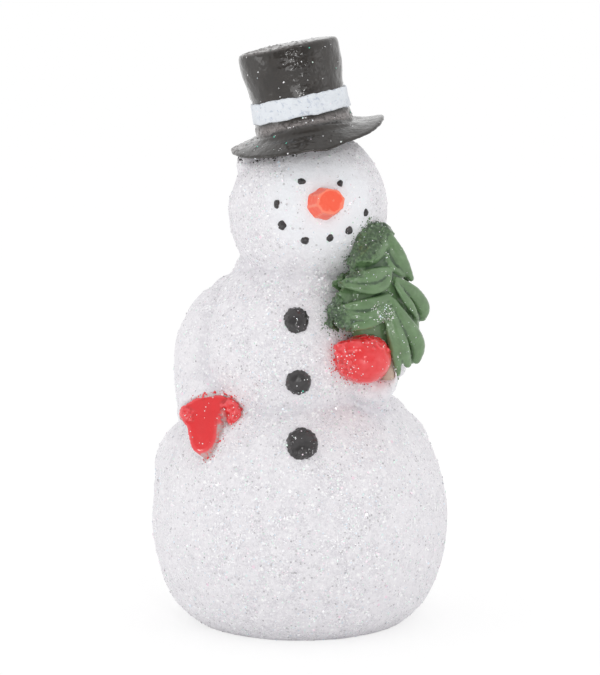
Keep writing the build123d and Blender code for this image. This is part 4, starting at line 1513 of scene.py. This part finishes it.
class SNOWMAN_OT_stage(bpy.types.Operator):
    """Pale floor, soft light all round and the camera"""

    bl_idname = "snowman.stage"
    bl_label = "Stage"

    def execute(self, context):
        stage = settings().stage
        scene = context.scene
        scene.view_settings.view_transform = "Standard"
        floor = fresh(bpy.ops.mesh.primitive_plane_add, size=stage.floor_size)
        floor.name = "floor"
        floor.data.materials.append(floor_finish())
        light_world(scene)
        stand = (0, -stage.camera_distance, stage.camera_height)
        tilt = (pi / 2 - stage.camera_pitch, 0, 0)
        camera = fresh(bpy.ops.object.camera_add, location=stand, rotation=tilt)
        camera.data.lens = stage.lens
        camera.data.clip_start = 0.01
        camera.data.clip_end = 100
        scene.camera = camera
        for name, (place, size, watts) in LAMPS.items():
            aim = LAMPS_AIM_AT - Vector(place)
            turned_to = aim.to_track_quat("-Z", "Y").to_euler()
            lamp = fresh(bpy.ops.object.light_add, type="AREA", location=place, rotation=turned_to)
            lamp.name = name
            lamp.data.shape = "SQUARE"
            lamp.data.size = size
            lamp.data.energy = watts
        return {"FINISHED"}


def light_world(scene):
    """White surroundings, darker in a cone at the front, as beside a camera."""
    scene.world = bpy.data.worlds.new("surroundings")
    scene.world.use_nodes = True
    world = Wiring(scene.world.node_tree)
    direction = world.add("TexCoord").outputs["Generated"]
    toward = world.add("VectorMath", {0: direction, 1: FRONT}, operation="DOT_PRODUCT")
    inputs = {"Value": toward.outputs["Value"], **FRONT_CONE}
    ramp = world.add("MapRange", inputs, interpolation_type="SMOOTHSTEP")
    background = world.tree.nodes["Background"]
    world.feed(background.inputs["Strength"], ramp.outputs["Result"])
    background.inputs["Color"].default_value = (1, 1, 1, 1)


def floor_finish():
    """A white floor that keeps a faint shadow."""
    finish = Finish("floor_white")
    speck = finish.noise(60 * MM, 3)
    finish.set(Base_Color=finish.mix(speck, (0.92, 0.92, 0.92), (0.91, 0.91, 0.91)), Roughness=0.9)
    glow = finish.add("Emission", dict(Strength=FLOOR_GLOW))
    path = finish.add("LightPath").outputs
    seen = finish.maths("MAXIMUM", path["Is Camera Ray"], path["Is Glossy Ray"])
    seen = finish.maths("MAXIMUM", seen, path["Is Transmission Ray"])
    inputs = {0: finish.times(seen, FLOOR_GLOW_SHARE), 1: finish.shader.outputs[0], 2: glow.outputs[0]}
    finish.feed(finish.output.inputs["Surface"], finish.add("MixShader", inputs).outputs[0])
    return finish.material


OPERATORS = (
    SNOWMAN_OT_stage,
    SNOWMAN_OT_hat,
    SNOWMAN_OT_nose,
    SNOWMAN_OT_coals,
    SNOWMAN_OT_buttons,
    SNOWMAN_OT_mittens,
    SNOWMAN_OT_tree,
    SNOWMAN_OT_coat,
    SNOWMAN_OT_glitter,
    SNOWMAN_OT_woodwork,
)


class SNOWMAN_PT_panel(bpy.types.Panel):
    """Lists the snowman's operators"""

    bl_idname = "SNOWMAN_PT_panel"
    bl_label = "Snowman"
    bl_space_type = "VIEW_3D"
    bl_region_type = "UI"
    bl_category = "Snowman"

    def draw(self, context):
        for operator in OPERATORS:
            self.layout.operator(operator.bl_idname)


CLASSES = (
    BallSettings,
    CoatSettings,
    HatSettings,
    FaceSettings,
    MittenSettings,
    TreeSettings,
    StageSettings,
    SnowmanSettings,
    *OPERATORS,
    SNOWMAN_PT_panel,
)


def register():
    for each in CLASSES:
        bpy.utils.register_class(each)
    bpy.types.Scene.snowman = PointerProperty(type=SnowmanSettings)


def unregister():
    del bpy.types.Scene.snowman
    for each in reversed(CLASSES):
        bpy.utils.unregister_class(each)


def main():
    register()
    for operator in OPERATORS:
        family, name = operator.bl_idname.split(".")
        getattr(getattr(bpy.ops, family), name)()


if __name__ == "__main__":
    main()
